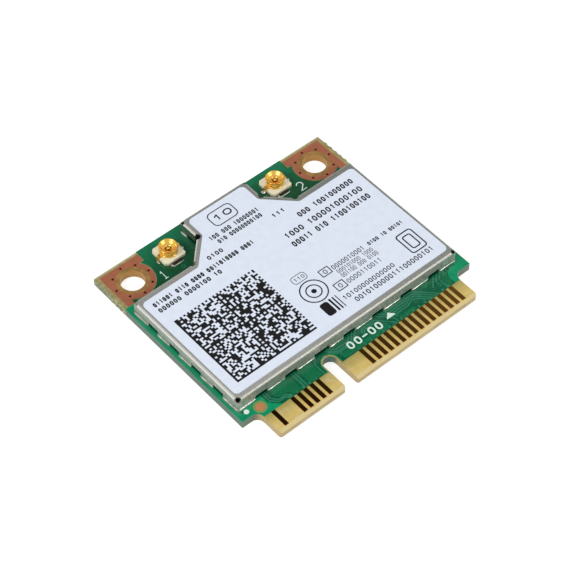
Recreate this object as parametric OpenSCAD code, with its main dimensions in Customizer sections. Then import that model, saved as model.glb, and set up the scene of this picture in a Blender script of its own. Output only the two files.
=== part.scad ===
// Half-size mini card radio module, lying flat on its underside.
// X runs across the card, Y from the contact tip (minus) to the mounting holes (plus), Z up.
// The origin is at the middle of the underside of the card's bounding box.

/* [Board] */
// Width across the card
board_w = 29.85; // [29:0.05:32]
// Length from the contact tip to the back edge
board_l = 26.65; // [26:0.05:30]
// Thickness over both solder masks
board_t = 1.0; // [0.8:0.05:1.2]
// Thickness of each solder mask
mask_t = 0.04; // [0.03:0.005:0.06]
// Thickness of the copper foil, whose bare face lies a little below the mask's
foil_t = 0.03; // [0.02:0.005:0.03]

/* [Mounting holes] */
// Distance between the two mounting holes
hole_spread = 24.2; // [23.5:0.1:25]
// Hole centre to the back edge
hole_back = 2.75; // [2.6:0.05:3]
// Diameter of each mounting hole
hole_d = 2.6; // [2.4:0.1:2.8]
// Radius of the bare laminate ring round a hole
ring_r = 1.8; // [1.7:0.05:1.85]
// Radius of the copper pad round a hole
pad_r = 2.35; // [2.25:0.05:2.45]
// Bare laminate between the copper pad and the board's side edge
pad_margin = 0.46; // [0.4:0.02:0.7]
// Bare laminate between the copper pad and the board's back edge
pad_back = 0.38; // [0.3:0.02:0.6]
// Reach of the pad's back strip past the hole centre
pad_reach = 2.45; // [2.4:0.05:2.8]
// Width of the pad's back strip
pad_strip = 0.95; // [0.7:0.05:1.1]
// Gap between the copper pad and the solder mask
pad_gap = 0.08; // [0.05:0.01:0.12]
// Radius of the ring of vias
via_ring_r = 2.02; // [2:0.01:2.05]
// Outer diameter of a via
via_d = 0.3; // [0.2:0.02:0.34]
// Copper wall of a via
via_wall = 0.05; // [0.03:0.01:0.08]
// Vias round each hole
via_count = 8; // [4:1:10]

/* [Card edge] */
// Width of the contact tongue
tongue_w = 25.7; // [25:0.05:26.5]
// Tongue centre from the card's centre line
tongue_x = -0.1; // [-0.3:0.05:0.3]
// Length of the tongue
tongue_l = 3.375; // [3:0.025:4]
// Radius of the inside corners beside the tongue
step_r = 0.8; // [0.4:0.05:1]
// Width of the keying notch
notch_w = 1.55; // [1.4:0.05:1.7]
// Notch centre from the card's centre line
notch_x = -3.92; // [-4:0.02:-3.8]
// Length of the notch from the tip
notch_l = 3.98; // [3.6:0.02:4.2]
// Mask pulled back round the notch
notch_margin = 0.15; // [0.05:0.05:0.3]
// Corner cut at the tongue's left tip
tip_cut = 0.12; // [0.06:0.02:0.3]
// Radius of the corners left of the notch and at the tongue's right tip
tip_r = 0.3; // [0.2:0.05:0.5]
// Length of the bevel at the tip
bevel_l = 0.4; // [0.2:0.05:0.5]
// Depth of the bevel at the tip
bevel_t = 0.2; // [0.1:0.05:0.3]
// Contact pitch
pitch = 0.8; // [0.8:0.01:0.81]
// Width of a contact
contact_w = 0.46; // [0.4:0.01:0.55]
// Length of a contact
contact_l = 2.1; // [1.8:0.05:2.3]
// Centre of contact 15 to the notch centre
notch_to_15 = 2.35; // [2.3:0.05:2.45]
// Centre of contact 17 to the notch centre
notch_to_17 = 1.65; // [1.55:0.05:1.7]

/* [Shield can] */
// Width of the can
can_w = 28.5; // [26:0.1:28.6]
// Can centre from the card's centre line
can_x = -0.16; // [-0.3:0.02:0.2]
// Can front wall to the board's shoulder
can_front = 1.27; // [1:0.01:1.6]
// Socket bay wall to the board's back edge
bay_depth = 6; // [5.6:0.05:6.4]
// Can tab wall to the board's back edge
tab_back = 0.8; // [0.7:0.05:1.2]
// Width of the can's tab between the sockets
tab_w = 8.5; // [7.5:0.1:8.8]
// Tab centre from the card's centre line
tab_x = -0.12; // [-0.3:0.02:0.1]
// Size of the slanted wall beside each bay
bay_cut = 2.5; // [2:0.1:3]
// Height of the can
can_h = 1.5; // [1.4:0.05:2.2]
// Sheet thickness of the can
can_t = 0.2; // [0.15:0.01:0.25]
// Outer radius of the can's bends
bend_r = 0.25; // [0.22:0.01:0.4]
// Gap from a bend's end to the corner of the flat top at an outside corner
corner_gap = 0.25; // [0.05:0.01:0.3]
// Gap from a wall's end to an inside corner
bend_gap = 0.3; // [0.2:0.05:0.4]
// Width of the gaps between the can's feet
gap_w = 1.5; // [1:0.1:2]
// Height of the gaps between the can's feet
gap_h = 0.4; // [0.2:0.05:0.6]
// Least length of a foot at a corner
corner_foot = 1.0; // [0.8:0.05:1.1]
// Extra width of the third gap in the front wall, on its right
wide_gap = 0.4; // [0:0.1:0.6]
// Length of the foot on each side wall of the tab
tab_foot = 1.1; // [0.8:0.1:1.5]
// Gap pitch along the front wall
front_pitch = 3.77; // [3:0.01:4]
// Gap pitch along the side walls
side_pitch = 3.35; // [3:0.01:3.6]
// Gap pitch along the back walls
back_pitch = 3.6; // [3.2:0.1:4]
// Solder land outside the can's wall
land_out = 0.16; // [0.1:0.02:0.25]
// Solder land inside the can's wall
land_in = 0.4; // [0.3:0.05:0.5]
// Height of the solder fillet on the can's feet
fillet_h = 0.26; // [0.15:0.01:0.35]

/* [Label] */
// Label edge to the front bend
label_front = 0.41; // [0.1:0.01:0.6]
// Label edge to the side bends
label_side = 0.14; // [0.05:0.01:0.3]
// Label edge to the bends of the back walls
label_back = 0.5; // [0.1:0.01:0.6]
// Label edge to the bends beside the bays
label_bay = 0.33; // [0.1:0.01:0.5]
// Label edge to the tab's back bend
label_tab = 0.22; // [0.1:0.01:0.4]
// Thickness of the label
label_t = 0.06; // [0.04:0.01:0.12]
// Corner radius of the label
label_r = 0.5; // [0.3:0.05:0.8]

/* [Antenna sockets] */
// Distance between the two sockets
socket_spread = 14.15; // [13.6:0.05:14.6]
// Middle of the two sockets from the card's centre line
socket_x = -0.1; // [-0.3:0.05:0.3]
// Socket centre to the back edge
socket_back = 2.35; // [2:0.05:2.6]
// Side of the moulded base
base_w = 2.6; // [2.4:0.05:2.8]
// Height of the moulded base
base_h = 0.4; // [0.3:0.05:0.5]
// Corner cut of the moulded base
base_cut = 0.25; // [0.15:0.05:0.7]
// Socket height above the solder mask
socket_h = 1.25; // [1.1:0.05:1.4]
// Radius of the shell's lip, which the plug snaps over
lip_r = 1.0; // [0.95:0.01:1.05]
// Height of the shell's lip
lip_h = 0.24; // [0.2:0.01:0.3]
// Radius of the shell's neck
neck_r = 0.86; // [0.82:0.01:0.9]
// Inside radius of the shell
shell_bore_r = 0.74; // [0.7:0.01:0.78]
// Radius of the shell's flange
flange_r = 0.98; // [0.92:0.01:1.2]
// Thickness of the shell's flange and of its feet
flange_t = 0.1; // [0.08:0.01:0.12]
// Radius of the centre pin
pin_r = 0.25; // [0.2:0.01:0.3]
// Top of the centre pin below the lip
pin_drop = 0.25; // [0.15:0.01:0.4]
// Width of the shell's feet
foot_w = 0.9; // [0.6:0.05:1.1]
// Reach of the feet past the moulded base
foot_out = 0.12; // [0.05:0.01:0.2]
// Width of the pin's tail
tail_w = 0.6; // [0.4:0.05:0.8]
// Reach of the solder lands past the moulded base
land_reach = 0.38; // [0.3:0.02:0.5]
// Width of the signal land in front of a socket
signal_land_w = 1.3; // [1:0.05:1.5]

/* [Parts under the can] */
// Side of the radio chip
radio_w = 9; // [7:0.1:9.4]
// Height of the radio chip
radio_h = 0.9; // [0.6:0.05:1.1]
// Side of each amplifier
amp_w = 3; // [2.5:0.1:3.2]
// Height of the small chips
chip_h = 0.7; // [0.5:0.05:0.9]
// Length of a small resistor or capacitor
small_l = 1.0; // [0.8:0.05:1.1]
// Width of a small resistor or capacitor
small_w = 0.5; // [0.4:0.05:0.6]
// Height of a capacitor
cap_h = 0.5; // [0.4:0.05:0.6]
// Height of a resistor
res_h = 0.35; // [0.25:0.05:0.45]
// Spacing of the capacitors round the radio chip
cap_pitch = 1.5; // [1.3:0.1:1.7]
// Radio chip edge to the middle of the capacitors
cap_gap = 1.2; // [1:0.05:1.4]

/* [Marks] */
// Radius of the copper alignment disc
disc_r = 0.45; // [0.3:0.05:0.5]
// Radius of the mask opening round the alignment disc
disc_open_r = 0.73; // [0.65:0.01:0.8]
// Alignment disc to the board's left edge
disc_side = 2.45; // [2.2:0.05:2.8]
// Alignment disc beyond the board's shoulder, towards the holes
disc_in = 0.26; // [0.2:0.02:0.4]
// Diameter of a test pad on the underside
test_d = 1.0; // [0.8:0.1:1.2]

/* [Hidden] */
$fn = 48;
// Overshoot of cutting shapes
over = 1;

// Levels of the layers
lam_bottom = mask_t;
lam_top = board_t - mask_t;
foil_top = lam_top + foil_t;
foil_bottom = lam_bottom - foil_t;

// Edges of the board
side_x = board_w / 2;
back_y = board_l / 2;
tip_y = -back_y;
shoulder_y = tip_y + tongue_l;
hole_x = hole_spread / 2;
hole_y = back_y - hole_back;
contact_tip_y = tip_y + bevel_l;
mask_y = contact_tip_y + contact_l;

// Centres of the contacts; even numbers on the underside sit half a pitch further right
x_15 = notch_x - notch_to_15;
x_17 = notch_x + notch_to_17;
function contact_x(n) = n <= 16 ? x_15 - (15 - n) / 2 * pitch : x_17 + (n - 17) / 2 * pitch;
top_numbers = [for (n = [1:2:51]) if (n != 3 && n != 5 && n != 17 && n != 19) n];
bottom_numbers = [for (n = [2:2:52]) n];

// Corners of the can's wall, pulled in by d, anticlockwise from the front left corner
can_left = can_x - can_w / 2;
can_right = can_x + can_w / 2;
can_front_y = shoulder_y + can_front;
bay_y = back_y - bay_depth;
tab_y = back_y - tab_back;
tab_left = tab_x - tab_w / 2;
tab_right = tab_x + tab_w / 2;
function can_outline(d) = let (s = d * tan(22.5)) [
    [can_left + d, can_front_y + d], [can_right - d, can_front_y + d], [can_right - d, bay_y - d],
    [tab_right + bay_cut - s, bay_y - d], [tab_right - d, bay_y + bay_cut - s],
    [tab_right - d, tab_y - d], [tab_left + d, tab_y - d],
    [tab_left + d, bay_y + bay_cut - s], [tab_left - bay_cut + s, bay_y - d],
    [can_left + d, bay_y - d]];
walls = can_outline(0);
wall_count = len(walls);
// Pitch of the gaps between the feet on each wall in the same order, 0 on a wall with none
gap_pitches = [front_pitch, side_pitch, back_pitch, 0, 0, back_pitch, 0, 0, back_pitch, side_pitch];
function wall_start(i) = walls[i];
function wall_end(i) = walls[(i + 1) % wall_count];
function wall_length(i) = norm(wall_end(i) - wall_start(i));
// As many gaps as leave a whole foot at both corners
function gap_count(i) = gap_pitches[i] == 0 ? 0
    : 1 + floor((wall_length(i) - 2 * corner_foot - gap_w) / gap_pitches[i]);
function wall_angle(i) = let (v = wall_end(i) - wall_start(i)) atan2(v[1], v[0]);
// The turn at the start of a wall: positive at an outside corner
function turn(i) = let (a = wall_angle(i) - wall_angle((i + wall_count - 1) % wall_count))
    a > 180 ? a - 360 : a < -180 ? a + 360 : a;
// How far a bend stops short of a corner, which leaves the small openings at the can's corners
function bend_stop(a) = a > 0 ? bend_r * tan(a / 2) + corner_gap : bend_gap;
// The label's corners, where each wall's line is pulled in by a distance of its own
label_in = [for (d = [label_front, label_side, label_back, label_bay, label_bay, label_tab,
    label_bay, label_bay, label_back, label_side]) bend_r + d];
function label_corner(i) = let (j = (i + wall_count - 1) % wall_count,
    a = wall_angle(j), b = wall_angle(i), da = label_in[j], db = label_in[i])
    walls[i] + [da * cos(b) - db * cos(a), da * sin(b) - db * sin(a)] / sin(b - a);

// A polygon with each corner rounded by r in a few short steps
function rounded(p, r, steps = 6) = [for (i = [0:len(p) - 1])
    let (before = p[(i + len(p) - 1) % len(p)], here = p[i], after = p[(i + 1) % len(p)],
        u = (before - here) / norm(before - here), v = (after - here) / norm(after - here),
        half = acos(u * v) / 2, middle = here + (u + v) / norm(u + v) * r / sin(half),
        a0 = atan2((here + u * r / tan(half) - middle)[1], (here + u * r / tan(half) - middle)[0]),
        side = u[0] * v[1] - u[1] * v[0] > 0 ? -1 : 1)
    for (k = [0:steps]) middle + r * [cos(a0 + side * k / steps * (180 - 2 * half)),
        sin(a0 + side * k / steps * (180 - 2 * half))]];

// A place along Y inside the can, as a share of the way from the front wall to the bay walls
function can_depth_at(share) = can_front_y + share * (bay_y - can_front_y);
radio_y = can_depth_at(0.5);

// Small parts round the radio chip and in the tab: [x, y, turn]
cap_ring = radio_w / 2 + cap_gap;
cap_places = [for (k = [-2:2]) for (side = [0:3]) let (a = side * 90)
    [cap_ring * cos(a) - k * cap_pitch * sin(a), radio_y + cap_ring * sin(a) + k * cap_pitch * cos(a), a]];
// Two rows of resistors in the can's tab
res_pitch = 1.2;
res_rows = [bay_y + 1.6, bay_y + 3.7];
res_places = [for (y = res_rows) for (k = [-2:2]) [tab_x + k * res_pitch, y, 90]];
// Chips and coils: where their middles stand, measured from the can's side walls, and their sizes
amp_places = [[can_left + 3, can_depth_at(0.74)], [can_right - 3, can_depth_at(0.74)]];
filter_size = [2, 1.25];
filter_places = [[can_left + 6, can_depth_at(0.91)], [can_right - 6, can_depth_at(0.91)]];
filter_h = 0.8;
power_place = [can_left + 3, can_depth_at(0.48)];
power_w = 3.5;
memory_place = [can_right - 3, can_depth_at(0.5)];
memory_size = [3, 2];
crystal_place = [can_right - 3, can_depth_at(0.25)];
crystal_size = [2.5, 2];
crystal_h = 0.6;
coil_size = [2.5, 2];
coil_h = 1.0;
coil_places = [[can_left + 2.5, can_depth_at(0.17)], [can_left + 5.7, can_depth_at(0.17)]];
// Chips that stand on a ring of lands: [centre, size, lands a side]
land_chips = [[[0, radio_y], [radio_w, radio_w], 6], [amp_places[0], [amp_w, amp_w], 3],
    [amp_places[1], [amp_w, amp_w], 3], [power_place, [power_w, power_w], 3],
    [memory_place, memory_size, 2]];
// Parts that stand on one land at each end: [centre, size]
end_parts = [[filter_places[0], filter_size], [filter_places[1], filter_size],
    [crystal_place, crystal_size], [coil_places[0], coil_size], [coil_places[1], coil_size]];
// Share of a chip's underside that its middle land covers
middle_land = 0.5;
// Socket land beside a shell's foot
land_side = 0.1;
// Lands at the sides of a chip, and at the ends of a small part
chip_land_l = 0.5;
chip_land_w = 0.3;
end_land_l = 0.5;

disc_place = [-side_x + disc_side, shoulder_y + disc_in];
// Test pads in two rows, the second a little to the right
test_pitch = [4.5, 5];
test_places = [for (k = [-2:2]) for (row = [0:1]) [test_pitch[0] * k + row, test_pitch[1] * (row - 0.5)]];
socket_y = back_y - socket_back;
socket_left_x = socket_x - socket_spread / 2;
socket_right_x = socket_x + socket_spread / 2;

// Flat shapes

module notch_2d(grow = 0) {
    translate([notch_x, tip_y + notch_l - notch_w / 2]) circle(r = notch_w / 2 + grow);
    translate([notch_x - notch_w / 2 - grow, tip_y - over])
        square([notch_w + 2 * grow, notch_l - notch_w / 2 + over]);
}

module inside_corner(x, side) {
    translate([x, shoulder_y]) difference() {
        translate([side > 0 ? 0 : -step_r, -step_r]) square([step_r, step_r]);
        translate([side * step_r, -step_r]) circle(r = step_r);
    }
}

module tip_corner(x, side) {
    translate([x, tip_y]) polygon([[-side * over, -over], [side * tip_cut, -over], [side * tip_cut, 0],
        [0, tip_cut], [-side * over, tip_cut]]);
}

module tip_round(x, side) {
    translate([x, tip_y]) difference() {
        polygon([[-side * over, -over], [side * tip_r, -over], [side * tip_r, tip_r], [-side * over, tip_r]]);
        translate([side * tip_r, tip_r]) circle(r = tip_r);
    }
}

// Outline of the board with the tongue, its rounded inside corners and the notch
module board_2d() {
    left = tongue_x - tongue_w / 2;
    right = tongue_x + tongue_w / 2;
    difference() {
        union() {
            translate([-side_x, shoulder_y]) square([board_w, back_y - shoulder_y]);
            translate([left, tip_y]) square([tongue_w, tongue_l + over]);
            inside_corner(left, -1);
            inside_corner(right, 1);
        }
        notch_2d();
        tip_corner(left, 1);
        tip_round(right, -1);
        tip_round(notch_x - notch_w / 2, -1);
    }
}

// Copper round the left mounting hole, with its strips along the side and back edges
module corner_pad_2d() {
    left = -side_x + pad_margin;
    top = back_y - pad_back;
    difference() {
        union() {
            translate([-hole_x, hole_y]) circle(r = pad_r);
            translate([left, hole_y - pad_r]) square([pad_strip, pad_r + top - hole_y]);
            translate([left, top - pad_strip]) square([pad_reach - hole_x - left, pad_strip]);
        }
        translate([-hole_x, hole_y]) circle(r = ring_r);
        via_ring_2d(via_d);
        translate([-side_x - over, 0]) square([pad_margin + over, back_y]);
    }
}

// Opening of the solder mask at the left mounting hole, out to the board's edges
module corner_opening_2d() {
    left = -side_x + pad_margin;
    top = back_y - pad_back;
    translate([-hole_x, hole_y]) circle(r = pad_r + pad_gap);
    translate([-side_x - over, hole_y - pad_r - pad_gap])
        square([pad_margin + pad_strip + pad_gap + over, back_y - hole_y + pad_r + pad_gap + over]);
    translate([-side_x - over, top - pad_strip - pad_gap])
        square([pad_reach - hole_x + side_x + pad_gap + over, pad_strip + pad_gap + pad_back + over]);
}

module via_ring_2d(d) {
    for (k = [0:via_count - 1]) {
        a = k * 360 / via_count;
        translate([-hole_x + via_ring_r * cos(a), hole_y + via_ring_r * sin(a)]) circle(d = d);
    }
}

module both_sides() {
    children();
    mirror([1, 0, 0]) children();
}

// Places of the gaps between the can's feet, as rectangles across the walls
module foot_gaps_2d() {
    for (i = [0:wall_count - 1]) if (gap_count(i) > 0) for (k = [1:gap_count(i)]) {
        along = wall_length(i) / 2 + (k - (gap_count(i) + 1) / 2) * gap_pitches[i];
        translate(wall_start(i)) rotate(wall_angle(i)) translate([along - gap_w / 2, -over])
            square([gap_w + (i == 0 && k == 3 ? wide_gap : 0), 2 * over]);
    }
    // The tab's side walls stand on one foot each, at its back corners
    for (side = [0, 1]) mirror([side, 0, 0])
        translate([(side == 0 ? tab_right : -tab_left) - over, bay_y + bay_cut])
            square([2 * over, tab_y - tab_foot - bay_y - bay_cut]);
}

// The slots at the inside corners, where the walls on both sides stop
module corner_slots_2d() {
    for (i = [0:wall_count - 1]) if (turn(i) < 0) translate(walls[i]) circle(r = bend_gap);
}

module shield_land_2d() {
    difference() {
        polygon(can_outline(-land_out));
        polygon(can_outline(can_t + land_in));
        foot_gaps_2d();
        corner_slots_2d();
    }
}

// One socket's lands: a ground land on each side and the signal land in front
module socket_land_2d(x) {
    half = base_w / 2;
    translate([x, socket_y]) {
        for (side = [-1, 1]) translate([side * (half + land_reach / 2 - foot_w / 4), 0])
            square([land_reach + foot_w / 2, foot_w + 2 * land_side], center = true);
        translate([0, -half - land_reach / 2 + tail_w / 4])
            square([signal_land_w, land_reach + tail_w / 2], center = true);
    }
}

module chip_land_2d(place, size, count) {
    translate(place) {
        square(size * middle_land, center = true);
        for (side = [0:3]) rotate(side * 90) {
            across = side % 2 == 0 ? size : [size[1], size[0]];
            for (k = [1:count])
                translate([across[0] / 2 - chip_land_l / 2, (k - (count + 1) / 2) * across[1] / (count + 1)])
                    square([chip_land_l, chip_land_w], center = true);
        }
    }
}

module end_land_2d(place, size, angle = 0) {
    translate(place) rotate(angle) for (side = [-1, 1])
        translate([side * size[0] / 2, 0]) square([end_land_l, size[1]], center = true);
}

module component_land_2d() {
    for (chip = land_chips) chip_land_2d(chip[0], chip[1], chip[2]);
    for (part = end_parts) end_land_2d(part[0], part[1]);
    for (p = concat(cap_places, res_places)) end_land_2d([p[0], p[1]], [small_l, small_w], p[2]);
}

module test_pad_2d() {
    for (p = test_places) translate(p) circle(d = test_d);
}

// What both masks leave bare: the contacts, the notch's rim and the mounting corners
module common_openings_2d() {
    translate([-side_x - over, tip_y - over]) square([board_w + 2 * over, mask_y - tip_y + over]);
    notch_2d(notch_margin);
    both_sides() corner_opening_2d();
}

// The bevels along the tip, cut from the level of the copper on each face
module bevels() {
    for (face = [0, 1]) translate([-side_x - over, 0, face * board_t]) mirror([0, 0, face])
        rotate([90, 0, 90]) linear_extrude(board_w + 2 * over)
            polygon([[tip_y - over, -over], [contact_tip_y + bevel_l, foil_bottom - bevel_t],
                [contact_tip_y, foil_bottom], [tip_y, foil_bottom + bevel_t],
                [tip_y - over, foil_bottom + bevel_t * (1 + over / bevel_l)]]);
}

// Sub-parts of the board

module circuit_board() {
    color([0.72, 0.66, 0.42]) difference() {
        translate([0, 0, lam_bottom]) linear_extrude(lam_top - lam_bottom) difference() {
            board_2d();
            both_sides() via_ring_2d(via_d);
        }
        for (side = [-1, 1]) translate([side * hole_x, hole_y, -over])
            cylinder(d = hole_d, h = board_t + 2 * over);
        bevels();
    }
}

module top_solder_mask() {
    color([0.08, 0.42, 0.25]) translate([0, 0, lam_top]) linear_extrude(mask_t) difference() {
        board_2d();
        common_openings_2d();
        shield_land_2d();
        for (x = [socket_left_x, socket_right_x]) socket_land_2d(x);
        component_land_2d();
        translate(disc_place) circle(r = disc_open_r);
    }
}

module bottom_solder_mask() {
    color([0.08, 0.42, 0.25]) linear_extrude(mask_t) difference() {
        board_2d();
        common_openings_2d();
        test_pad_2d();
    }
}

module left_corner_pad() {
    color([0.7, 0.38, 0.25]) translate([0, 0, lam_top]) linear_extrude(foil_t) corner_pad_2d();
}

module right_corner_pad() {
    mirror([1, 0, 0]) left_corner_pad();
}

module bottom_corner_pads() {
    color([0.7, 0.38, 0.25]) translate([0, 0, foil_bottom]) linear_extrude(foil_t)
        both_sides() corner_pad_2d();
}

// Copper tubes through the board round each mounting hole
module corner_via_liners() {
    color([0.6, 0.32, 0.2]) translate([0, 0, foil_bottom]) linear_extrude(foil_top - foil_bottom)
        both_sides() difference() {
            via_ring_2d(via_d);
            via_ring_2d(via_d - 2 * via_wall);
        }
}

module contact_row(numbers, z) {
    color([0.75, 0.58, 0.25]) difference() {
        translate([0, 0, z]) linear_extrude(foil_t) for (n = numbers)
            translate([contact_x(n) - contact_w / 2, tip_y]) square([contact_w, mask_y - tip_y]);
        bevels();
    }
}

module top_contacts() {
    contact_row(top_numbers, lam_top);
}

module bottom_contacts() {
    contact_row(bottom_numbers, foil_bottom);
}

module alignment_disc() {
    color([0.8, 0.5, 0.35]) translate([0, 0, lam_top]) translate(disc_place)
        cylinder(r = disc_r, h = foil_t);
}

module test_pads() {
    color([0.75, 0.58, 0.25]) translate([0, 0, foil_bottom]) linear_extrude(foil_t) test_pad_2d();
}

module component_lands() {
    color([0.75, 0.58, 0.25]) translate([0, 0, lam_top]) linear_extrude(foil_t) component_land_2d();
}

module shield_lands() {
    color([0.75, 0.58, 0.25]) translate([0, 0, lam_top]) linear_extrude(foil_t) shield_land_2d();
}

module socket_lands() {
    color([0.75, 0.58, 0.25]) translate([0, 0, lam_top]) linear_extrude(foil_t)
        for (x = [socket_left_x, socket_right_x]) socket_land_2d(x);
}

// Shield can and label

// One quarter-round bend along a wall, which runs along X with the can's inside at plus Y
module bend(length) {
    rotate([90, 0, 90]) linear_extrude(length) intersection() {
        difference() {
            translate([bend_r, 0]) circle(r = bend_r);
            translate([bend_r, 0]) circle(r = bend_r - can_t);
        }
        square(bend_r);
    }
}

module shield_can() {
    color([0.66, 0.65, 0.62]) translate([0, 0, foil_top]) difference() {
        union() {
            linear_extrude(can_h - bend_r) difference() {
                polygon(walls);
                polygon(can_outline(can_t));
                corner_slots_2d();
            }
            translate([0, 0, can_h - can_t]) linear_extrude(can_t) polygon(can_outline(bend_r));
            for (i = [0:wall_count - 1]) {
                start = bend_stop(turn(i));
                stop = bend_stop(turn((i + 1) % wall_count));
                translate([wall_start(i)[0], wall_start(i)[1], can_h - bend_r])
                    rotate(wall_angle(i)) translate([start, 0, 0]) bend(wall_length(i) - start - stop);
            }
        }
        translate([0, 0, -over]) linear_extrude(gap_h + over) foot_gaps_2d();
    }
}

// Solder along the foot of each wall, on the outer part of its land
module shield_solder() {
    color([0.85, 0.85, 0.83]) translate([0, 0, foil_top]) difference() {
        for (i = [0:wall_count - 1]) translate(wall_start(i)) rotate(wall_angle(i))
            rotate([90, 0, 90]) linear_extrude(wall_length(i))
                polygon([[0, 0], [0, fillet_h], [-land_out, 0]]);
        translate([0, 0, -over]) linear_extrude(fillet_h + 2 * over) {
            foot_gaps_2d();
            corner_slots_2d();
        }
    }
}

module label() {
    color([0.86, 0.9, 0.97]) translate([0, 0, foil_top + can_h]) linear_extrude(label_t)
        polygon(rounded([for (i = [0:wall_count - 1]) label_corner(i)], label_r));
}

// Antenna sockets, drawn round their own axis, standing on the solder mask

module shell_shape() {
    foot_end = base_w / 2 + foot_out;
    rotate_extrude() union() {
        translate([shell_bore_r, base_h]) square([flange_r - shell_bore_r, flange_t]);
        translate([shell_bore_r, base_h]) square([neck_r - shell_bore_r, socket_h - base_h]);
        translate([shell_bore_r, socket_h - lip_h]) square([lip_r - shell_bore_r, lip_h]);
    }
    for (side = [-1, 1]) mirror([side > 0 ? 0 : 1, 0, 0]) {
        translate([shell_bore_r, -foot_w / 2, 0]) cube([foot_end - shell_bore_r, foot_w, flange_t]);
        translate([shell_bore_r, -foot_w / 2, 0]) cube([flange_t, foot_w, base_h + flange_t / 2]);
    }
}

module pin_shape() {
    cylinder(r = pin_r, h = socket_h - pin_drop);
    translate([-tail_w / 2, -base_w / 2 - foot_out, 0]) cube([tail_w, base_w / 2 + foot_out, flange_t]);
}

module base_shape() {
    half = base_w / 2;
    in = half - base_cut;
    difference() {
        linear_extrude(base_h) polygon([[-in, -half], [in, -half], [half, -in], [half, in], [in, half],
            [-in, half], [-half, in], [-half, -in]]);
        shell_shape();
        pin_shape();
    }
}

module socket_place(x) {
    translate([x, socket_y, board_t]) children();
}

module left_socket_base() {
    color([0.9, 0.86, 0.76]) socket_place(socket_left_x) base_shape();
}

module left_socket_shell() {
    color([0.93, 0.72, 0.25]) socket_place(socket_left_x) shell_shape();
}

module left_socket_pin() {
    color([0.85, 0.62, 0.2]) socket_place(socket_left_x) pin_shape();
}

module right_socket_base() {
    color([0.9, 0.86, 0.76]) socket_place(socket_right_x) base_shape();
}

module right_socket_shell() {
    color([0.93, 0.72, 0.25]) socket_place(socket_right_x) shell_shape();
}

module right_socket_pin() {
    color([0.85, 0.62, 0.2]) socket_place(socket_right_x) pin_shape();
}

// A wedge of solder from the end of each foot and tail down to the end of its land
module solder_wedge(width) {
    drop = board_t - foil_top;
    translate([0, -width / 2, -drop]) rotate([90, 0, 0]) mirror([0, 0, 1]) linear_extrude(width)
        polygon([[0, 0], [land_reach - foot_out, 0], [0, flange_t + drop]]);
}

module socket_solder() {
    out = base_w / 2 + foot_out;
    color([0.85, 0.85, 0.83]) for (x = [socket_left_x, socket_right_x]) socket_place(x) {
        translate([out, 0, 0]) solder_wedge(foot_w);
        rotate(180) translate([out, 0, 0]) solder_wedge(foot_w);
        rotate(-90) translate([out, 0, 0]) solder_wedge(signal_land_w - 2 * land_side);
    }
}

// Parts under the can, standing on the solder mask over their lands

module block(place, size, height) {
    translate([place[0] - size[0] / 2, place[1] - size[1] / 2, board_t])
        cube([size[0], size[1], height]);
}

module radio_chip() {
    color([0.12, 0.12, 0.13]) block([0, radio_y], [radio_w, radio_w], radio_h);
}

module left_amplifier() {
    color([0.12, 0.12, 0.13]) block(amp_places[0], [amp_w, amp_w], chip_h);
}

module right_amplifier() {
    color([0.12, 0.12, 0.13]) block(amp_places[1], [amp_w, amp_w], chip_h);
}

module antenna_filters() {
    color([0.85, 0.85, 0.82]) for (p = filter_places) block(p, filter_size, filter_h);
}

module power_chip() {
    color([0.12, 0.12, 0.13]) block(power_place, [power_w, power_w], chip_h);
}

module memory_chip() {
    color([0.12, 0.12, 0.13]) block(memory_place, memory_size, chip_h);
}

module crystal() {
    color([0.75, 0.74, 0.7]) block(crystal_place, crystal_size, crystal_h);
}

module power_inductors() {
    color([0.3, 0.3, 0.32]) for (p = coil_places) block(p, coil_size, coil_h);
}

module small_part(p, height) {
    translate([p[0], p[1], board_t]) rotate(p[2])
        translate([-small_l / 2, -small_w / 2, 0]) cube([small_l, small_w, height]);
}

module capacitors() {
    color([0.62, 0.5, 0.38]) for (p = cap_places) small_part(p, cap_h);
}

module resistors() {
    color([0.1, 0.1, 0.1]) for (p = res_places) small_part(p, res_h);
}

circuit_board();
top_solder_mask();
bottom_solder_mask();
left_corner_pad();
right_corner_pad();
bottom_corner_pads();
corner_via_liners();
top_contacts();
bottom_contacts();
alignment_disc();
test_pads();
component_lands();
shield_lands();
socket_lands();
shield_can();
shield_solder();
socket_solder();
label();
left_socket_base();
left_socket_shell();
left_socket_pin();
right_socket_base();
right_socket_shell();
right_socket_pin();
radio_chip();
left_amplifier();
right_amplifier();
antenna_filters();
power_chip();
memory_chip();
crystal();
power_inductors();
capacitors();
resistors();
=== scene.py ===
# %% [markdown]
# # Finishing a half-size mini card
#
# The card is a small radio module: a green board with a tongue of gold
# contacts, a folded metal can under a printed label, and two push-fit antenna
# sockets. Its exact solids come from the CAD frame. This lesson gives them
# their finishes, and adds the fine parts that a CAD row leaves out: copper
# that shows as relief under the green coat, white ink, the label's print, the
# solder and the rounded turned parts of the sockets.

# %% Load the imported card
import math

import bmesh
import bpy
import numpy as np
from mathutils import Matrix, Vector


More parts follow.
